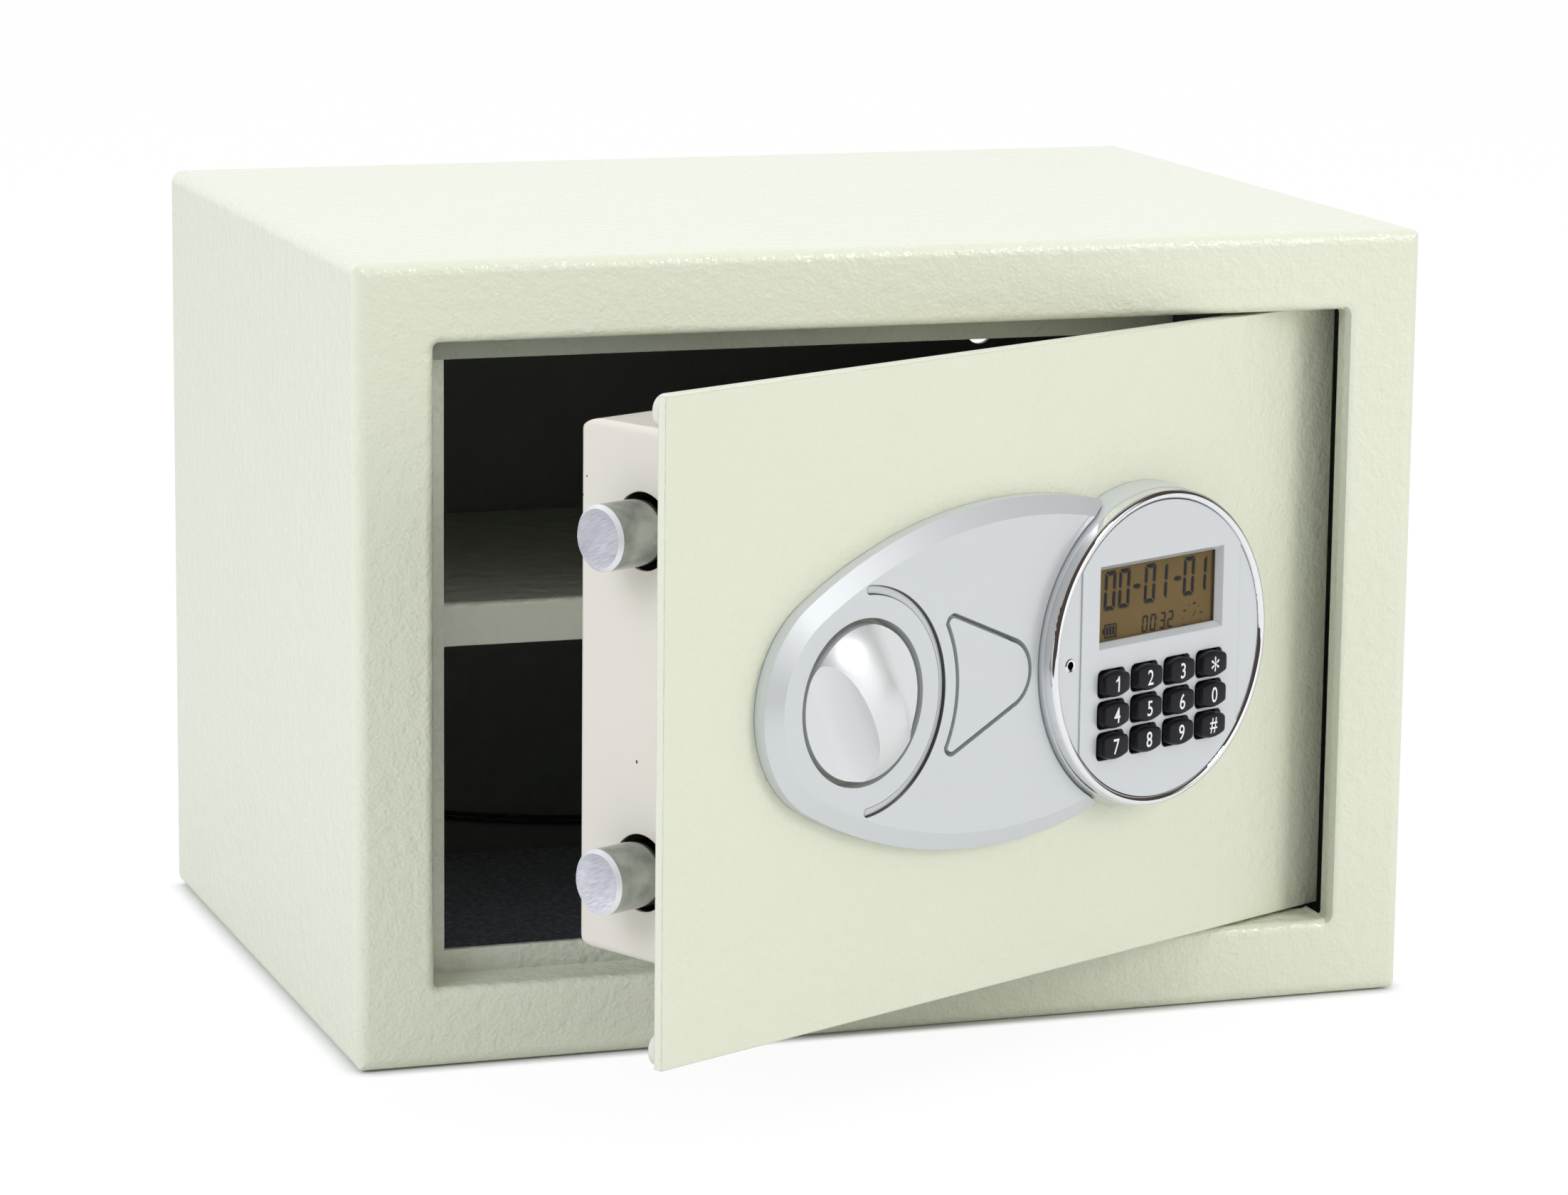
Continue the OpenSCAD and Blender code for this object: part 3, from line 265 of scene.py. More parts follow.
def new_mesh(name, build):
    mesh = bpy.data.meshes.new(name)
    bm = bmesh.new()
    build(bm)
    bm.normal_update()
    bm.to_mesh(mesh)
    bm.free()
    piece = bpy.data.objects.new(name, mesh)
    bpy.context.scene.collection.objects.link(piece)
    return piece


def smooth(piece):
    for face in piece.data.polygons:
        face.use_smooth = True
    return piece


def lay_mat(bm):
    rng = random.Random(4)
    nx, ny = mat_columns, mat_rows
    grid = {}
    for i in range(nx + 1):
        for j in range(ny + 1):
            x = mat_low[0] + mat_size[0] * i / nx
            y = mat_low[1] + mat_size[1] * j / ny
            side = min(i, nx - i, ny - j, j) / 2.0
            round_off = mat_edge * max(0, 1 - side) ** 2
            wave = (mat_wave * math.sin(x * 61 + 2 * math.sin(y * 37))
                    + rng.uniform(-mat_wave, mat_wave))
            z = min(mat_high[2] - mat_sink + wave - round_off, mat_high[2])
            grid[i, j] = bm.verts.new((x, y, z))
    for i in range(nx):
        for j in range(ny):
            bm.faces.new((grid[i, j], grid[i + 1, j], grid[i + 1, j + 1], grid[i, j + 1]))
    rim = ([grid[i, 0] for i in range(nx + 1)] + [grid[nx, j] for j in range(1, ny + 1)]
           + [grid[i, ny] for i in range(nx - 1, -1, -1)]
           + [grid[0, j] for j in range(ny - 1, 0, -1)])
    foot = [bm.verts.new((v.co.x, v.co.y, mat_low[2])) for v in rim]
    for k in range(len(rim)):
        n = (k + 1) % len(rim)
        bm.faces.new((rim[k], foot[k], foot[n], rim[n]))
    bm.faces.new(foot)


felt, tree, shader = plain("needle_felt", (0.018, 0.020, 0.032), 0.95, Sheen_Weight=0.35,
                           Sheen_Roughness=0.6)
place = add(tree, "TexCoord")
fibre = add(tree, "TexNoise", {"Scale": 1500, "Detail": 6, "Distortion": 1.5})
tufts = add(tree, "TexNoise", {"Scale": 420, "Detail": 5})
nap = add(tree, "Math", operation="MULTIPLY")
bump = add(tree, "Bump", {"Strength": 0.9, "Distance": 0.0006})


def ramp_of(tree, *stops):
    """A colour ramp between two stops, each a position and a colour."""
    ramp = add(tree, "ValToRGB")
    for stop, (position, color) in zip(ramp.color_ramp.elements, stops):
        stop.position = position
        stop.color = (*color, 1)
    return ramp


fibre_tone = ramp_of(tree, (0.20, felt_dark), (0.36, felt_light))
join(tree, (place, "Object", fibre, "Vector"), (place, "Object", tufts, "Vector"),
     (fibre, "Fac", nap, 0), (tufts, "Fac", nap, 1), (nap, 0, fibre_tone, "Fac"),
     (fibre_tone, "Color", shader, "Base Color"), (nap, 0, bump, "Height"),
     (bump, "Normal", shader, "Normal"))
felt_mat = smooth(new_mesh("felt_mat", lay_mat))
felt_mat.data.materials.append(felt)
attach(felt_mat, "cabinet")
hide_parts("floor_mat")

# Lead grommets
# Small black rubber cones that close the holes where the leads leave the cabinet's inside.
black_rubber = plain("black_rubber", (0.015, 0.015, 0.016), 0.6)[0]
dress(black_rubber, "lead_grommets")

# Door plate
# A 3 mm steel plate, cut square and sprayed with the same cream coat as the cabinet.
dress(cream_coat, "door_plate")

# Door straps and hinge ears
# Flat steel bars welded behind the plate's top and bottom edges, painted with the box in a
# smooth pinkish cream. The ears at their ends hold the hinge pins.
box_coat = coat("box_coat", (0.80, 0.75, 0.675), (0.76, 0.71, 0.64), 0.3, 160, 0.0001,
                edge=0.0005, gloss=0.3)
dress(box_coat, "door_straps", "hinge_ears", "bolt_box")

# Bolt box
# A folded steel cover over the boltwork, with small chips where the dark primer shows. The
# chips are flakes on the side of the box that faces the bolts.
pivot = Vector((0.130, -0.095, 0))
rest_angle = math.radians(26)
plate_w, plate_front, recess_y = 297, 11, -0.125
box_side_u, chip_lift = 26, 0.03
along = Vector((math.cos(rest_angle), math.sin(rest_angle), 0))
outward = Vector((math.sin(rest_angle), -math.cos(rest_angle), 0))


def on_door(u, z, h):
    """A point of the resting door in mm: u from its free edge, z up, h in front of the plate."""
    p = Vector(((u - plate_w / 2) / 1000 - pivot.x,
                (plate_front - h) / 1000 + recess_y - pivot.y, 0))
    p.rotate(Matrix.Rotation(rest_angle, 3, "Z"))
    return Vector((p.x + pivot.x, p.y + pivot.y, z / 1000))


def place_on_door(piece, u, z, h):
    """Turns a piece drawn in mm, x to the right, y up and z outward, on to the resting door."""
    o = on_door(u, z, h)
    piece.data.transform(Matrix((
        (along.x / 1000, 0, outward.x / 1000, o.x),
        (along.y / 1000, 0, outward.y / 1000, o.y),
        (0, 0.001, 0, o.z),
        (0, 0, 0, 1))))
    return piece


def chips(bm):
    rng = random.Random(9)
    corners = 9
    for depth, z, size in ((38.6, 107.7, 0.8), (60.8, 190.5, 0.55), (62.4, 184.7, 0.4),
                           (30.5, 152.0, 0.2), (18.0, 96.0, 0.25), (49.0, 61.0, 0.3)):
        ring = []
        for k in range(corners):
            a = k * math.tau / corners
            r = size * rng.uniform(0.35, 0.65)
            ring.append(bm.verts.new(on_door(box_side_u - chip_lift, z + 1.5 * r * math.sin(a),
                                             -(depth + r * math.cos(a)))))
        bm.faces.new(ring)


chip_dark = plain("chip_dark", (0.02, 0.02, 0.018), 0.7)[0]
box_chips = new_mesh("box_chips", chips)
box_chips.data.materials.append(chip_dark)
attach(box_chips, "door")

# Box screws, posts, boltwork and hinge pins
# Zinc-plated pan-head screws with cross recesses hold the box to four posts on the plate. The
# boltwork in the box and the hinge pins are plated the same way.
def metal(name, color, roughness, stretch=(1, 1, 1), depth=0.00002, scale=600, edge=0.0):
    """Bare or plated steel: uneven roughness and faint marks, stretched along the door."""
    material, tree, shader = plain(name, color, roughness, 1.0)
    place = add(tree, "TexCoord")
    squeeze = add(tree, "Mapping", {"Rotation": (0, 0, -rest_angle), "Scale": stretch},
                  vector_type="TEXTURE")
    lines = add(tree, "TexNoise", {"Scale": scale, "Detail": 5})
    smear = add(tree, "MapRange", {"To Min": roughness * 0.7, "To Max": roughness * 1.4})
    bump = add(tree, "Bump", {"Strength": 0.5, "Distance": depth})
    join(tree, (place, "Object", squeeze, "Vector"), (squeeze, "Vector", lines, "Vector"),
         (lines, "Fac", smear, "Value"), (smear, "Result", shader, "Roughness"),
         (lines, "Fac", bump, "Height"), (bump, "Normal", shader, "Normal"))
    if edge:
        soften(tree, bump, edge)
    return material


zinc = metal("zinc_plate", (0.60, 0.61, 0.63), 0.3, scale=900)
dress(zinc, "box_screws", "box_posts", "bolt_bracket", "bolt_guides", "hinge_pins", "bolt_bar",
      "solenoid_pin", "knob_spindle", "knob_cam")

# Bolts
# Turned steel bars, 20 mm across, with a bright machined chamfer. Its near-white, part-matt colour
# is also a painted highlight. Their ends are brushed across, and a painted reflection makes them
# a little brighter toward the foot.
bolt_r, chamfer, bolt_u, bolt_depth = 10.0, 1.2, 8.0, 36.6
door_mid_z, bolt_half_pitch = 125.7, 51.5
end_r, end_lift, end_corners = bolt_r - chamfer - 0.02, 0.02, 64
turned = metal("turned_steel", (0.34, 0.385, 0.35), 0.10, stretch=(0.05, 1, 1), scale=700,
               edge=0.0002)
tree = turned.node_tree
shader = tree.nodes["Principled BSDF"]
smear = shader.inputs["Roughness"].links[0].from_node
place = add(tree, "TexCoord")
deep = add(tree, "VectorMath", {1: along}, operation="DOT_PRODUCT")
on_side = add(tree, "Math", {1: on_door(bolt_u, 0, 0).dot(along) + chamfer / 1000},
              operation="GREATER_THAN")
wear = add(tree, "TexNoise", {"Scale": 130, "Detail": 6})
side_tone = ramp_of(tree, (0.35, (0.26, 0.29, 0.27)), (0.65, (0.47, 0.51, 0.47)))
# the chamfer's near-white, part-matt colour is partly a painted highlight
chamfer_highlight_mix = add(tree, "Mix", {"A": (0.93, 0.94, 0.97, 1)}, data_type="RGBA")
two_sheens = add(tree, "Mix", {"A": 0.42})
less_metal = add(tree, "MapRange", {"To Min": 0.35})
join(tree, (place, "Object", deep, 0), (deep, "Value", on_side, 0),
     (place, "Object", wear, "Vector"), (wear, "Fac", side_tone, "Fac"),
     (on_side, 0, chamfer_highlight_mix, "Factor"), (side_tone, "Color", chamfer_highlight_mix, "B"),
     (on_side, 0, two_sheens, "Factor"), (smear, "Result", two_sheens, "B"),
     (on_side, 0, less_metal, "Value"), (less_metal, "Result", shader, "Metallic"),
     (chamfer_highlight_mix, "Result", shader, "Base Color"), (two_sheens, "Result", shader, "Roughness"))
dress(turned, "bolt_upper", "bolt_lower")

brushed = metal("brushed_end", (0.60, 0.60, 0.66), 0.30, stretch=(1, 1, 12), scale=2600)
tree = brushed.node_tree
place = add(tree, "TexCoord")
slant = add(tree, "Mapping", {"Rotation": (-0.45, 0, 0), "Scale": (1 / 260, 1 / 260, 1 / 3200)},
            vector_type="TEXTURE")
strokes = add(tree, "TexNoise", {"Scale": 1.0, "Detail": 4})
patch = add(tree, "TexNoise", {"Scale": 45})
rise = add(tree, "SeparateXYZ")
# the ends are a little brighter toward the foot: a painted reflection
foot_painted_reflection = add(tree, "MapRange", {"To Min": 1.5, "To Max": 0.75})
mixed = add(tree, "Math", operation="MULTIPLY")
with_painted_light = add(tree, "Math", operation="MULTIPLY")
end_tone = ramp_of(tree, (0.02, (0.36, 0.36, 0.42)), (0.50, (0.88, 0.88, 0.95)))
join(tree, (place, "Object", slant, "Vector"), (slant, "Vector", strokes, "Vector"),
     (place, "Object", patch, "Vector"), (strokes, "Fac", mixed, 0), (patch, "Fac", mixed, 1),
     (mixed, 0, with_painted_light, 0), (place, "Generated", rise, 0), (rise, "Z", foot_painted_reflection, "Value"),
     (foot_painted_reflection, "Result", with_painted_light, 1), (with_painted_light, 0, end_tone, "Fac"),
     (end_tone, "Color", tree.nodes["Principled BSDF"], "Base Color"))


def bolt_face(name, z):
    def disc(bm):
        ring = []
        for k in range(end_corners):
            a = k * math.tau / end_corners
            ring.append(bm.verts.new(on_door(bolt_u - end_lift, z + end_r * math.sin(a),
                                             -(bolt_depth + end_r * math.cos(a)))))
        bm.faces.new(ring)
    face = new_mesh(name, disc)
    face.data.materials.append(brushed)
    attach(face, "bolts")


bolt_face("bolt_upper_end", door_mid_z + bolt_half_pitch)
bolt_face("bolt_lower_end", door_mid_z - bolt_half_pitch)

# Fascia, key cover and keypad housing
# Injection-moulded plastic in satin silver lacquer: a sloped oval with the knob's pocket and an
# arc groove, the cover of the emergency lock, and the round drum of the keypad.
silver_tone, silver_gloss = (0.675, 0.70, 0.72), dict(roughness=0.32, metallic=0.30)
knob_u, knob_z = 74.8, door_mid_z
arc_r, arc_half, arc_end = 0.0338, 0.0013, math.radians(86)


def lacquer(name, color, roughness, metallic, edge, speck=0.25, shade_reach=0.0007):
    """Silver lacquer: fine flakes, softened edges, and painted shade that darkens its crevices."""
    material, tree, shader = plain(name, color, roughness, metallic, Coat_Weight=0.35,
                                   Coat_Roughness=0.18)
    # ambient occlusion darkens the colour in crevices: painted shade
    nook = add(tree, "AmbientOcclusion", {"Distance": shade_reach, "Color": (1, 1, 1, 1)}, samples=6)
    clear = add(tree, "MapRange", {"From Min": 0.48, "From Max": 0.8})
    crevice_painted_shade = add(tree, "Mix", {"A": (color[0] * 0.08, color[1] * 0.08, color[2] * 0.10, 1),
                               "B": (*color, 1)}, data_type="RGBA")
    place = add(tree, "TexCoord")
    flake = add(tree, "TexNoise", {"Scale": 2500, "Detail": 3})
    smear = add(tree, "MapRange", {"To Min": roughness * (1 - 0.6 * speck),
                                   "To Max": roughness * (1 + 0.8 * speck)})
    bump = add(tree, "Bump", {"Strength": speck, "Distance": 0.00001})
    join(tree, (nook, "AO", clear, "Value"), (clear, "Result", crevice_painted_shade, "Factor"),
         (crevice_painted_shade, "Result", shader, "Base Color"), (place, "Object", flake, "Vector"),
         (flake, "Fac", smear, "Value"), (smear, "Result", shader, "Roughness"),
         (flake, "Fac", bump, "Height"), (bump, "Normal", shader, "Normal"))
    if edge:
        soften(tree, bump, edge, samples=6)
    return material


silver = lacquer("silver_lacquer", silver_tone, edge=0.00018, **silver_gloss)
dress(silver, "key_cover", "keypad_housing")
face_silver = lacquer("face_silver", silver_tone, edge=0.0004, shade_reach=0.0002, **silver_gloss)
dress(face_silver, "keypad_face")

# the arc groove has a fine line of painted shade along its outline, drawn from the distance to it
fascia_silver = lacquer("fascia_silver", silver_tone, edge=0.00018, **silver_gloss)
tree = fascia_silver.node_tree
shader = tree.nodes["Principled BSDF"]
with_painted_light = shader.inputs["Base Color"].links[0].from_node


def calc(kind, a, b=None):
    """One step of arithmetic on one or two sockets or numbers."""
    made = add(tree, "Math", operation=kind)
    for value, socket in ((a, made.inputs[0]), (b, made.inputs[1])):
        if isinstance(value, (int, float)):
            socket.default_value = value
        elif value is not None:
            tree.links.new(value, socket)
    return made.outputs[0]


centre = on_door(knob_u, knob_z, 0)
place, parts = add(tree, "TexCoord"), add(tree, "SeparateXYZ")
sideways = add(tree, "VectorMath", {1: along}, operation="DOT_PRODUCT")
join(tree, (place, "Object", sideways, 0), (place, "Object", parts, 0))
du = calc("SUBTRACT", sideways.outputs["Value"], centre.dot(along))
dz = calc("ABSOLUTE", calc("SUBTRACT", parts.outputs["Z"], centre.z))


def reach(u0, z0, size):
    """How far a point of the fascia is outside a circle."""
    across, up = calc("SUBTRACT", du, u0), calc("SUBTRACT", dz, z0)
    far = calc("SQRT", calc("ADD", calc("MULTIPLY", across, across), calc("MULTIPLY", up, up)))
    return calc("SUBTRACT", far, size)


arc = calc("ABSOLUTE", calc("SUBTRACT", calc("ABSOLUTE", reach(0, 0, arc_r)), arc_half))
cap = calc("ABSOLUTE", reach(arc_r * math.cos(arc_end), arc_r * math.sin(arc_end), arc_half))
beside = calc("GREATER_THAN", calc("SUBTRACT", calc("MULTIPLY", du, math.sin(arc_end)),
                                   calc("MULTIPLY", dz, math.cos(arc_end))), 0)
from_line = calc("ADD", calc("MULTIPLY", arc, beside),
                 calc("MULTIPLY", cap, calc("SUBTRACT", 1, beside)))
off_line = add(tree, "MapRange", {"From Min": 0.00010, "From Max": 0.00026})
groove_painted_shade = add(tree, "Mix", {"A": (0.06, 0.065, 0.08, 1)}, data_type="RGBA")
tree.links.new(from_line, off_line.inputs["Value"])
join(tree, (off_line, "Result", groove_painted_shade, "Factor"), (with_painted_light, "Result", groove_painted_shade, "B"),
     (groove_painted_shade, "Result", shader, "Base Color"))
dress(fascia_silver, "fascia")

# Emergency lock
# A brass cylinder lock under the key cover. Its plug turns with the key.
lock_metal = metal("lock_brass", (0.72, 0.58, 0.32), 0.28, scale=800)
dress(lock_metal, "lock_body", "lock_plug")

# Keypad ring and power socket
# A chrome-plated ring snapped round the keypad's face, and the small round power socket. The
# plating is slightly wavy.
chrome, tree, shader = plain("chrome_plate", (0.88, 0.88, 0.90), 0.05, 1.0)
place = add(tree, "TexCoord")
ripple = add(tree, "TexNoise", {"Scale": 120})
bump = add(tree, "Bump", {"Strength": 0.12, "Distance": 0.0004})
join(tree, (place, "Object", ripple, "Vector"), (ripple, "Fac", bump, "Height"),
     (bump, "Normal", shader, "Normal"))
dress(chrome, "keypad_ring", "power_socket")

# Display
# A liquid-crystal module behind a clear window. Dark slanted segments stand on an olive-brown
# reflector, each with a faint shadow beside it.
olive, tree, shader = plain("display_olive", (0.16, 0.11, 0.04), 0.6, Specular_IOR_Level=0.12)
place = add(tree, "TexCoord")
mottle = add(tree, "TexNoise", {"Scale": 60, "Detail": 3})
tint = add(tree, "Mix", {"A": (0.182, 0.121, 0.048, 1), "B": (0.152, 0.099, 0.036, 1)},
           data_type="RGBA")
join(tree, (place, "Object", mottle, "Vector"), (mottle, "Fac", tint, "Factor"),
     (tint, "Result", shader, "Base Color"))
dress(olive, "display_module")
window = plain("window_clear", (0.30, 0.26, 0.16), 0.04, Alpha=0.04)[0]
dress(window, "display_glass")
segment_ink = plain("segment_ink", (0.010, 0.013, 0.024), 0.5, Specular_IOR_Level=0.1)[0]
segment_shade = plain("segment_shade", (0.092, 0.064, 0.028), 0.7, Specular_IOR_Level=0.1)[0]
faint_ink = plain("segment_faint", (0.055, 0.042, 0.025), 0.6, Specular_IOR_Level=0.1)[0]

on_segments = {"0": "abcdef", "1": "bc", "2": "abged", "3": "abgcd"}
module_front = 8.6
shade_lift, shade_shift = 0.02, (0.45, -0.4)
ink_lift, dial_lift = 0.05, 0.03


def digit(bm, character, x, y, width, height, stroke, lean, lift):
    """Draws one seven-segment character with its low left corner at x, y."""
    gap = stroke * 0.16
    half, mid = stroke / 2, height / 2
    level = {"a": height - half, "g": mid, "d": half}

    def shape(points):
        bm.faces.new([bm.verts.new((x + px + lean * py, y + py, lift)) for px, py in points])

    for name in on_segments[character]:
        if name in level:
            c = level[name]
            if name == "a":
                shape([(gap, height), (width - gap, height),
                       (width - stroke - gap, height - stroke), (stroke + gap, height - stroke)])
            elif name == "d":
                shape([(stroke + gap, stroke), (width - stroke - gap, stroke), (width - gap, 0),
                       (gap, 0)])
            else:
                shape([(gap + half, c), (stroke + gap, c + half), (width - stroke - gap, c + half),
                       (width - gap - half, c), (width - stroke - gap, c - half),
                       (stroke + gap, c - half)])
            continue
        edge, inner = (0, stroke) if name in "ef" else (width, width - stroke)
        middle = (edge + inner) / 2
        if name in "bf":
            shape([(edge, mid + half), (edge, height - gap - half * 0.3),
                   (inner, height - stroke - gap), (inner, mid + half),
                   (middle, mid + gap)][:: 1 if name == "f" else -1])
        else:
            shape([(edge, gap + half * 0.3), (edge, mid - half), (middle, mid - gap),
                   (inner, mid - half), (inner, stroke + gap)][:: 1 if name == "e" else -1])


def pill(bm, x, y, rx, ry, lift):
    turns = [k * math.tau / 20 for k in range(20)]
    bm.faces.new([bm.verts.new((x + rx * math.cos(a), y + ry * math.sin(a), lift)) for a in turns])


def bar(bm, x0, y0, x1, y1, lift):
    bm.faces.new([bm.verts.new((x, y, lift)) for x, y in ((x0, y0), (x1, y0), (x1, y1), (x0, y1))])


def characters(lift, dx=0, dy=0):
    """The date 00-01-01 with the time 00:32 and a battery sign under it."""
    def build(bm):
        for x in (178.6, 185.2, 197.2, 215.6):
            digit(bm, "0", x + dx, 140.0 + dy, 5.1, 12.2, 1.25, 0.045, lift)
        for x in (202.8, 221.4):
            digit(bm, "1", x + dx, 140.0 + dy, 5.1, 11.9, 1.2, 0.045, lift)
        for x in (193.9, 213.1):
            pill(bm, x + dx, 146.0 + dy, 1.75, 0.72, lift)
        for character, x in (("0", 196.6), ("0", 200.4), ("3", 204.9), ("2", 208.6)):
            digit(bm, character, x + dx, 130.9 + dy, 2.5, 5.2, 0.5, 0.08, lift)
        for y in (132.6, 134.6):
            pill(bm, 203.8 + dx, y + dy, 0.22, 0.22, lift)
        # the battery sign: a frame with a nub and three bars
        for x0, y0, x1, y1 in ((179.2, 131.3, 184.7, 131.7), (179.2, 135.2, 184.7, 135.6),
                               (184.4, 131.3, 184.8, 135.6), (179.2, 131.3, 179.6, 135.6),
                               (178.4, 132.6, 179.2, 134.3)):
            bar(bm, x0 + dx, y0 + dy, x1 + dx, y1 + dy, lift)
        for x0 in (180.1, 181.5, 182.9):
            bar(bm, x0 + dx, 132.2 + dy, x0 + 1.0 + dx, 134.7 + dy, lift)
    return build


def dial_sign(bm):
    """A small arc of marks with a pointer, printed faintly at the lower right."""
    x, y, r = 220.6, 132.6, 4.4
    for k in range(8):
        a = math.radians(-20 + k * 33)
        mark_x, mark_y = x + r * math.cos(a), y + r * math.sin(a)
        if k % 2:
            bar(bm, mark_x - 0.7, mark_y - 0.35, mark_x + 0.7, mark_y + 0.35, dial_lift)
        else:
            pill(bm, mark_x, mark_y, 0.28, 0.28, dial_lift)
    pill(bm, 220.3, 132.0, 0.3, 0.3, dial_lift)
    bm.faces.new([bm.verts.new((x, y, dial_lift)) for x, y in (
        (220.9, 132.6), (222.6, 134.6), (222.3, 134.8), (220.6, 133.0))])


for name, build, material in (
        ("display_shadows", characters(shade_lift, *shade_shift), segment_shade),
        ("display_characters", characters(ink_lift), segment_ink),
        ("display_dial", dial_sign, faint_ink)):
    print_on = place_on_door(new_mesh(name, build), 0, 0, module_front)
    print_on.data.materials.append(material)
    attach(print_on, "door")

# Keys
# Black moulded keys with barrel-shaped outlines, softly rounded edges and a slightly crowned top.
# The white characters are printed on the crowns.
key_w, key_h, key_arc, key_top, key_foot = 12.0, 8.2, 13.0, 15.0, 8.4
key_turns, key_soft, key_ease = 72, 0.62, 36
pad_u, key_row_z, key_pitch_u, key_pitch_z = 202.3, door_mid_z - 7.8, 15.3, 9.85
legend_size, star_size, legend_bold = 6.9, 10.5, 0.05
legend_narrow, legend_shift, legend_lift = 0.84, -0.25, 0.04
key_black, tree, shader = plain("key_black", (0.006, 0.006, 0.0105), 0.32,
                                Specular_IOR_Level=0.24)
place = add(tree, "TexCoord")
grip = add(tree, "TexNoise", {"Scale": 1800})
smear = add(tree, "MapRange", {"To Min": 0.28, "To Max": 0.40})
bump = add(tree, "Bump", {"Strength": 0.2, "Distance": 0.00003})
join(tree, (place, "Object", grip, "Vector"), (grip, "Fac", smear, "Value"),
     (smear, "Result", shader, "Roughness"), (grip, "Fac", bump, "Height"),
     (bump, "Normal", shader, "Normal"))
ink_white = plain("ink_white", (0.86, 0.87, 0.88), 0.5)[0]


def key_rim(angle, inset):
    """The barrel outline of a key, drawn in by inset, along a ray from its middle."""
    c, s = math.cos(angle), math.sin(angle)
    w, a = key_w / 2 - inset, key_arc - inset
    off = key_arc - key_h / 2
    end = -off * abs(s) + math.sqrt(max(a * a - off * off * c * c, 0))
    side = w / abs(c) if abs(c) > 1e-6 else 1e9
    # the corner between the side and the arc is eased with a power mean
    r = (end ** -key_ease + side ** -key_ease) ** (-1 / key_ease)
    return Vector((r * c, r * s))


def crown(x, y):
    return key_top - 0.30 * (x / (key_w / 2)) ** 2 - 0.22 * (y / (key_h / 2)) ** 2


def mould_key(bm):
    def ring(inset, share=1, drop=0, height=None):
        made = []
        for t in range(key_turns):
            q = key_rim(t * math.tau / key_turns, inset) * share
            made.append(bm.verts.new((q.x, q.y, height or crown(q.x, q.y) + drop)))
        return made

    # straight walls, then a chamfer with a small round on either side of it
    rings = [ring(0.0, height=key_foot), ring(0.0, height=key_top - 3.2)]
    for inset, drop in ((0.0, -0.78), (0.02, -0.70), (0.08, -0.62), (0.44, -0.13), (0.50, -0.05),
                        (0.56, -0.01), (key_soft, 0)):
        rings.append(ring(inset, drop=drop))
    for share in (0.75, 0.5, 0.25):
        rings.append(ring(key_soft, share))
    middle = bm.verts.new((0, 0, key_top))
    for low, high in zip(rings, rings[1:]):
        for t in range(key_turns):
            n = (t + 1) % key_turns
            bm.faces.new((low[t], low[n], high[n], high[t]))
    for t in range(key_turns):
        bm.faces.new((rings[-1][t], rings[-1][(t + 1) % key_turns], middle))
    bm.faces.new(rings[0][::-1])


def write(name, text, size):
    """A character as a flat mesh in millimetres, centred on its own box."""
    data = bpy.data.curves.new(name, "FONT")
    data.body = text
    data.size = size
    data.offset = legend_bold
    data.resolution_u = 6
    shape = bpy.data.objects.new(name + "_outline", data)
    bpy.context.scene.collection.objects.link(shape)
    bpy.context.view_layer.update()
    seen = shape.evaluated_get(bpy.context.evaluated_depsgraph_get())
    mesh = bpy.data.meshes.new_from_object(seen)
    bpy.data.objects.remove(shape)
    piece = bpy.data.objects.new(name, mesh)
    bpy.context.scene.collection.objects.link(piece)
    xs, ys = [v.co.x for v in mesh.vertices], [v.co.y for v in mesh.vertices]
    mesh.transform(Matrix.Translation((-(min(xs) + max(xs)) / 2, -(min(ys) + max(ys)) / 2, 0)))
    return piece


def flagged_one(bm):
    """The 1 has a curved flag and no foot, which the font's 1 hasn't."""
    bm.faces.new([bm.verts.new((x, y, 0)) for x, y in (
        (0.15, -2.45), (0.95, -2.45), (0.95, 2.45), (0.3, 2.45), (-0.2, 1.75), (-1.05, 1.3),
        (-1.05, 0.6), (0.15, 1.15))])


for i, sign in enumerate("123*4560789#"):
    name = {"*": "star", "#": "hash"}.get(sign, sign)
    u = pad_u + (i % 4 - 1.5) * key_pitch_u
    z = key_row_z - (i // 4) * key_pitch_z
    cap = place_on_door(smooth(new_mesh("cap_" + name, mould_key)), u, z, 0)
    cap.data.materials.append(key_black)
    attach(cap, "key_" + name)
    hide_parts("key_" + name)
    if sign == "1":
        legend = new_mesh("legend_1", flagged_one)
    else:
        legend = write("legend_" + name, sign, star_size if sign == "*" else legend_size)
    bm = bmesh.new()
    bm.from_mesh(legend.data)
    bmesh.ops.triangulate(bm, faces=bm.faces)
    bmesh.ops.subdivide_edges(bm, edges=bm.edges, cuts=3, use_grid_fill=True)
    for v in bm.verts:
        v.co.x = v.co.x * legend_narrow + legend_shift
        v.co.z = crown(v.co.x, v.co.y) + legend_lift
    bm.to_mesh(legend.data)
    bm.free()
    place_on_door(legend, u, z, 0)
    legend.data.materials.append(ink_white)
    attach(legend, "key_" + name)

# Knob
# A solid moulding in the same silver lacquer, a little brighter, pressed on the spindle. Its
# grip is cut from a dome of 34 mm radius.
dome_r, dome_h = 34.06, 17.5
dome_centre, dome_top = on_door(knob_u, knob_z, dome_h - dome_r), on_door(knob_u, knob_z, dome_h)
knob_silver = lacquer("knob_silver", (0.775, 0.79, 0.80), 0.36, 0.50, 0.0, speck=0.0)
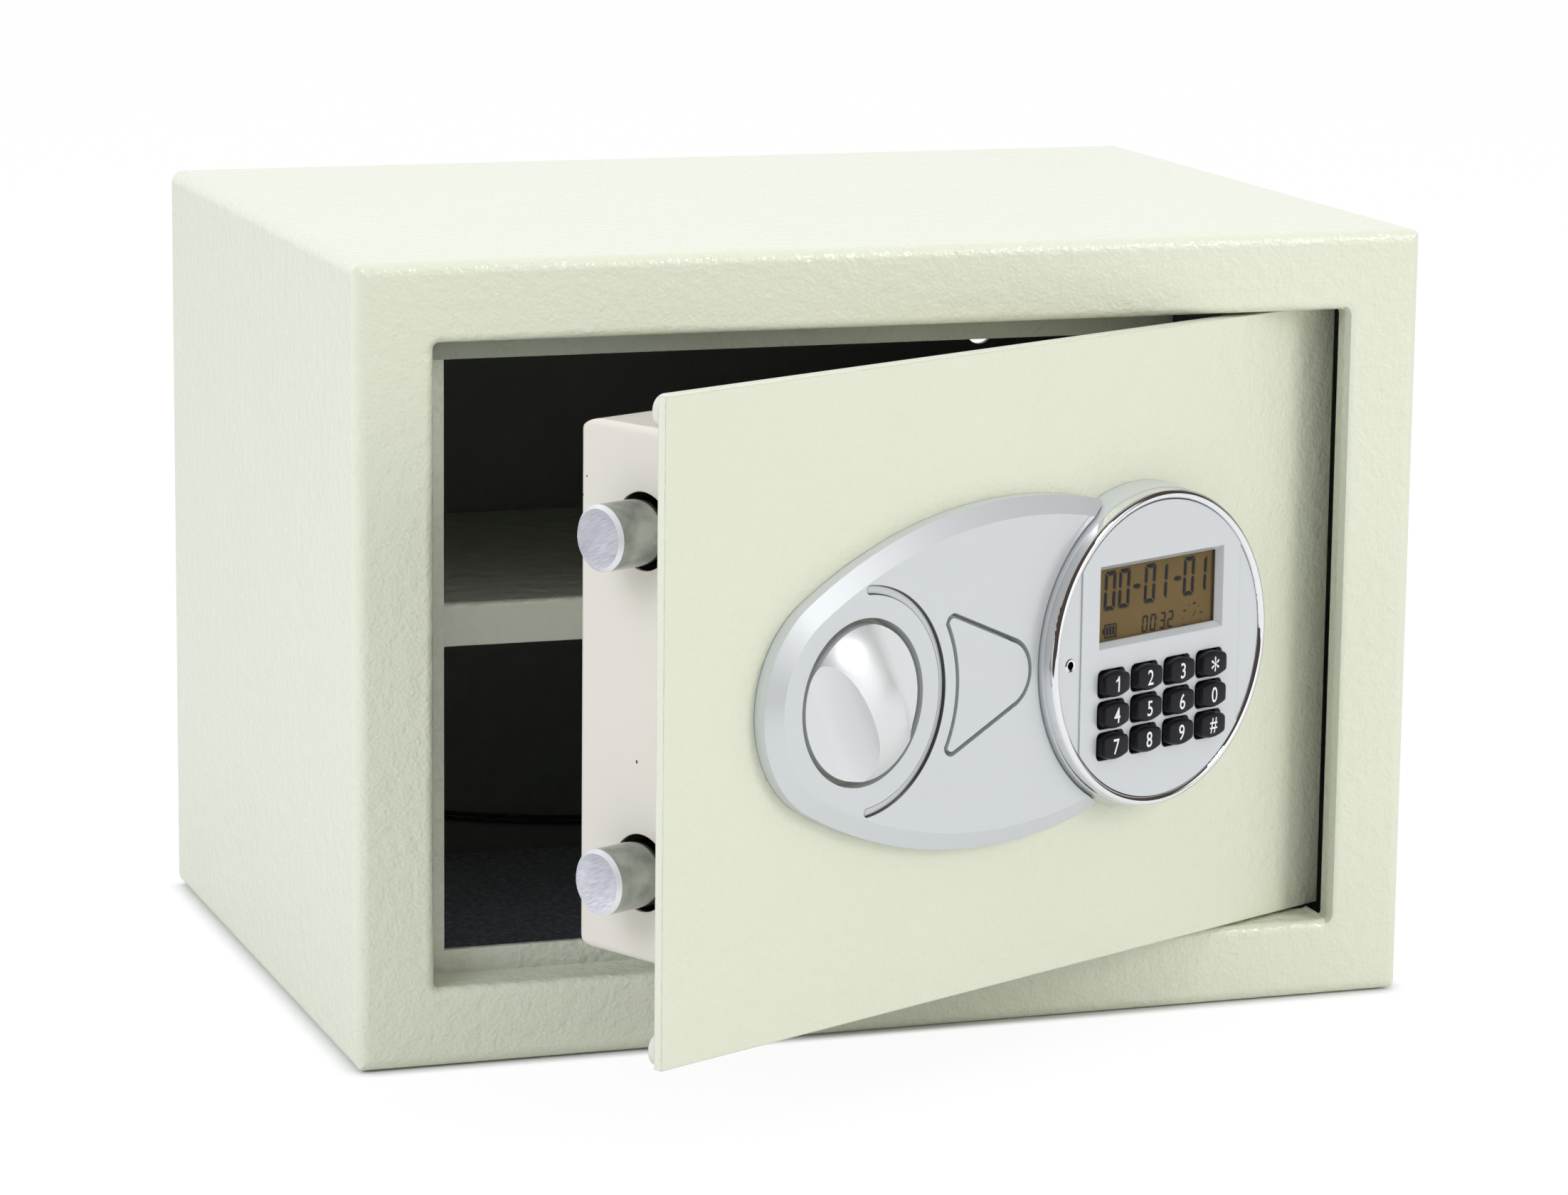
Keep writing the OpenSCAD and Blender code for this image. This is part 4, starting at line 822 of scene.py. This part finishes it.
# the dome is shaded evenly at its middle, where the mesh has uneven facets
tree = knob_silver.node_tree
bump = tree.nodes["Principled BSDF"].inputs["Normal"].links[0].from_node
place, own = add(tree, "TexCoord"), add(tree, "NewGeometry")
ray = add(tree, "VectorMath", {1: dome_centre}, operation="SUBTRACT")
turned_ray = add(tree, "VectorTransform", vector_type="NORMAL", convert_from="OBJECT",
                 convert_to="WORLD")
away = add(tree, "VectorMath", {1: dome_top}, operation="DISTANCE")
near_top = add(tree, "MapRange", {"From Min": 0.0050, "From Max": 0.0035})
pick = add(tree, "Mix", data_type="VECTOR")
join(tree, (place, "Object", ray, 0), (place, "Object", away, 0),
     (ray, "Vector", turned_ray, "Vector"), (away, "Value", near_top, "Value"),
     (near_top, "Result", pick, "Factor"), (own, "Normal", pick, "A"),
     (turned_ray, "Vector", pick, "B"), (pick, "Result", bump, "Normal"))
dress(knob_silver, "knob")

# Battery tray, cells and cover
# A black tray in the back of the bolt box holds four cells with plain dark sleeves, under a
# black cover with finger ribs. The solenoid's case is of the same black plastic.
black_plastic = coat("black_plastic", (0.022, 0.022, 0.024), (0.03, 0.03, 0.032), 0.45, 900,
                     0.0001, edge=0.0004)
dress(black_plastic, "battery_tray", "battery_cover", "solenoid_body")
cell_sleeve = coat("cell_sleeve", (0.05, 0.055, 0.075), (0.06, 0.065, 0.085), 0.3, 300, 0.00002)
dress(cell_sleeve, "cells")

# Reset button
# A small red button in the back of the bolt box that sets a new code.
red_button = coat("red_button", (0.50, 0.02, 0.02), (0.42, 0.015, 0.015), 0.3, 500, 0.00003,
                  edge=0.0004)
dress(red_button, "reset_button")

# Keypad board
# A green circuit board on four pillars behind the keys.
board_green = coat("board_green", (0.02, 0.13, 0.05), (0.015, 0.10, 0.04), 0.35, 400, 0.00003)
dress(board_green, "keypad_board")

# Floor
# A plain white studio table. It shows white to the camera and keeps the safe's shadow. Near the
# safe's foot, ambient occlusion takes its glow away as a painted contact shade over the real
# shading, so it is darkest along the line where the safe stands on it.
floor_z = -0.0002
floor_outline = ((-4, -0.4), (-0.25, -0.45), (0.15, -1.1), (4, -1.1), (4, 4), (-4, 4))


def lay_floor(bm):
    bm.faces.new([bm.verts.new((x, y, floor_z)) for x, y in floor_outline])


floor = new_mesh("floor", lay_floor)
white_floor, tree, shader = plain("white_floor", (0.86, 0.86, 0.86), 0.6, Specular_IOR_Level=0.2)
glow = add(tree, "Emission", {"Color": (1, 1, 1, 1), "Strength": 1.03})
rays = add(tree, "LightPath")
near = add(tree, "AmbientOcclusion", {"Distance": 0.006, "Color": (1, 1, 1, 1)}, samples=8)
open_floor = add(tree, "MapRange", {"From Min": 0.45, "From Max": 0.95, "To Min": 0.0,
                                    "To Max": 0.90})
share = add(tree, "Math", operation="MULTIPLY")
blend = add(tree, "MixShader")
join(tree, (near, "AO", open_floor, "Value"), (rays, "Is Camera Ray", share, 0),
     (open_floor, "Result", share, 1), (share, 0, blend, "Fac"), (shader, "BSDF", blend, 1),
     (glow, "Emission", blend, 2), (blend, "Shader", tree.nodes["Material Output"], "Surface"))
floor.data.materials.append(white_floor)

# Lights
# A large soft box above and to the left, a weaker one from the right, one overhead, a narrow one
# for the glints, and an even white room. A weak one stands inside the cabinet.
room_light, room_dark = (0.79, 0.80, 0.815), (0.49, 0.485, 0.46)


def soft_box(name, place, aim, size, power, color=(1, 1, 1)):
    lamp = bpy.data.lights.new(name, "AREA")
    lamp.shape = "RECTANGLE"
    lamp.size, lamp.size_y = size
    lamp.energy = power
    lamp.color = color
    piece = bpy.data.objects.new(name, lamp)
    piece.location = place
    piece.visible_camera = False
    piece.visible_glossy = name == "glint"
    piece.visible_diffuse = name != "glint"
    piece.rotation_euler = (Vector(aim) - Vector(place)).to_track_quat("-Z", "Y").to_euler()
    bpy.context.scene.collection.objects.link(piece)


soft_box("box_left", (-1.75, -1.05, 1.5), (0, 0, 0.12), (1.2, 1.2), 15.5, (0.94, 1.0, 1.10))
soft_box("box_right", (1.5, -1.5, 0.9), (0, 0, 0.12), (0.8, 1.2), 11.3, (1.0, 1.0, 0.95))
soft_box("box_top", (0.1, 0.1, 1.7), (0, 0, 0.1), (1.4, 1.4), 5)
soft_box("glint", (0.88, -1.27, 1.38), (0, -0.1, 0.2), (0.42, 0.13), 10)
soft_box("inside_fill", (-0.085, -0.094, 0.130), (-0.085, 0.118, 0.065), (0.11, 0.11), 0.015)
room = bpy.data.worlds.new("room")
room.use_nodes = True
bpy.context.scene.world = room
tree = room.node_tree
where, split = add(tree, "TexCoord"), add(tree, "SeparateXYZ")
join(tree, (where, "Generated", split, 0))


def toward(direction):
    """How directly a ray goes in one direction, from -1 to 1."""
    made = add(tree, "VectorMath", {1: direction}, operation="DOT_PRODUCT")
    join(tree, (where, "Generated", made, 0))
    return made.outputs["Value"]


def soft_step(value, low, high):
    made = add(tree, "MapRange", {"From Min": low, "From Max": high},
               interpolation_type="SMOOTHSTEP")
    tree.links.new(value, made.inputs["Value"])
    return made.outputs["Result"]


def times(a, b):
    made = add(tree, "Math", operation="MULTIPLY")
    tree.links.new(a, made.inputs[0])
    tree.links.new(b, made.inputs[1])
    return made.outputs[0]


def layer(under, factor, tone):
    """Lays a tone over what is under it, which is a tone too or another layer's output."""
    made = add(tree, "Mix", {"B": (*tone, 1)}, data_type="RGBA")
    tree.links.new(factor, made.inputs["Factor"])
    if isinstance(under, tuple):
        made.inputs["A"].default_value = (*under, 1)
    else:
        tree.links.new(under, made.inputs["A"])
    return made.outputs["Result"]


# what bright surfaces mirror: a dark room with a white backdrop, a soft box and a grey ceiling
mirrored = (0.07, 0.055, 0.048)
side, up = split.outputs["Y"], split.outputs["Z"]
soft_box_way = Vector((0.68, -0.70, 0.20)).normalized()
for factor, tone in (
        (soft_step(side, 0.15, 0.5), (1.0, 1.0, 1.0)),
        (times(soft_step(up, 0.65, 0.9), soft_step(side, -0.4, 0.1)), (0.46, 0.47, 0.46)),
        (soft_step(toward(soft_box_way), 0.90, 0.96), (1.3, 1.3, 1.3)),
        (times(soft_step(up, 0.0, -0.03), soft_step(side, -0.35, -0.2)), (0.95, 0.95, 0.93))):
    mirrored = layer(mirrored, factor, tone)
# what lights the matt ones: an even room that is darker on the camera's side
camera_side = times(soft_step(toward((0.05, -0.998, 0.05)), 0.55, 0.72),
                    times(soft_step(up, -0.02, 0.04), soft_step(up, 0.84, 0.68)))
shown = layer(room_light, camera_side, room_dark)
rays = add(tree, "LightPath")
pick = add(tree, "Mix", data_type="RGBA")
join(tree, (rays, "Is Glossy Ray", pick, "Factor"))
tree.links.new(shown, pick.inputs["A"])
tree.links.new(mirrored, pick.inputs["B"])
shown = pick.outputs["Result"]
for ray in ("Is Camera Ray", "Is Transmission Ray"):
    shown = layer(shown, rays.outputs[ray], (1, 1, 1))
tree.links.new(shown, tree.nodes["Background"].inputs["Color"])
tree.nodes["Background"].inputs["Strength"].default_value = 1.0

bpy.context.scene.view_settings.view_transform = "Standard"
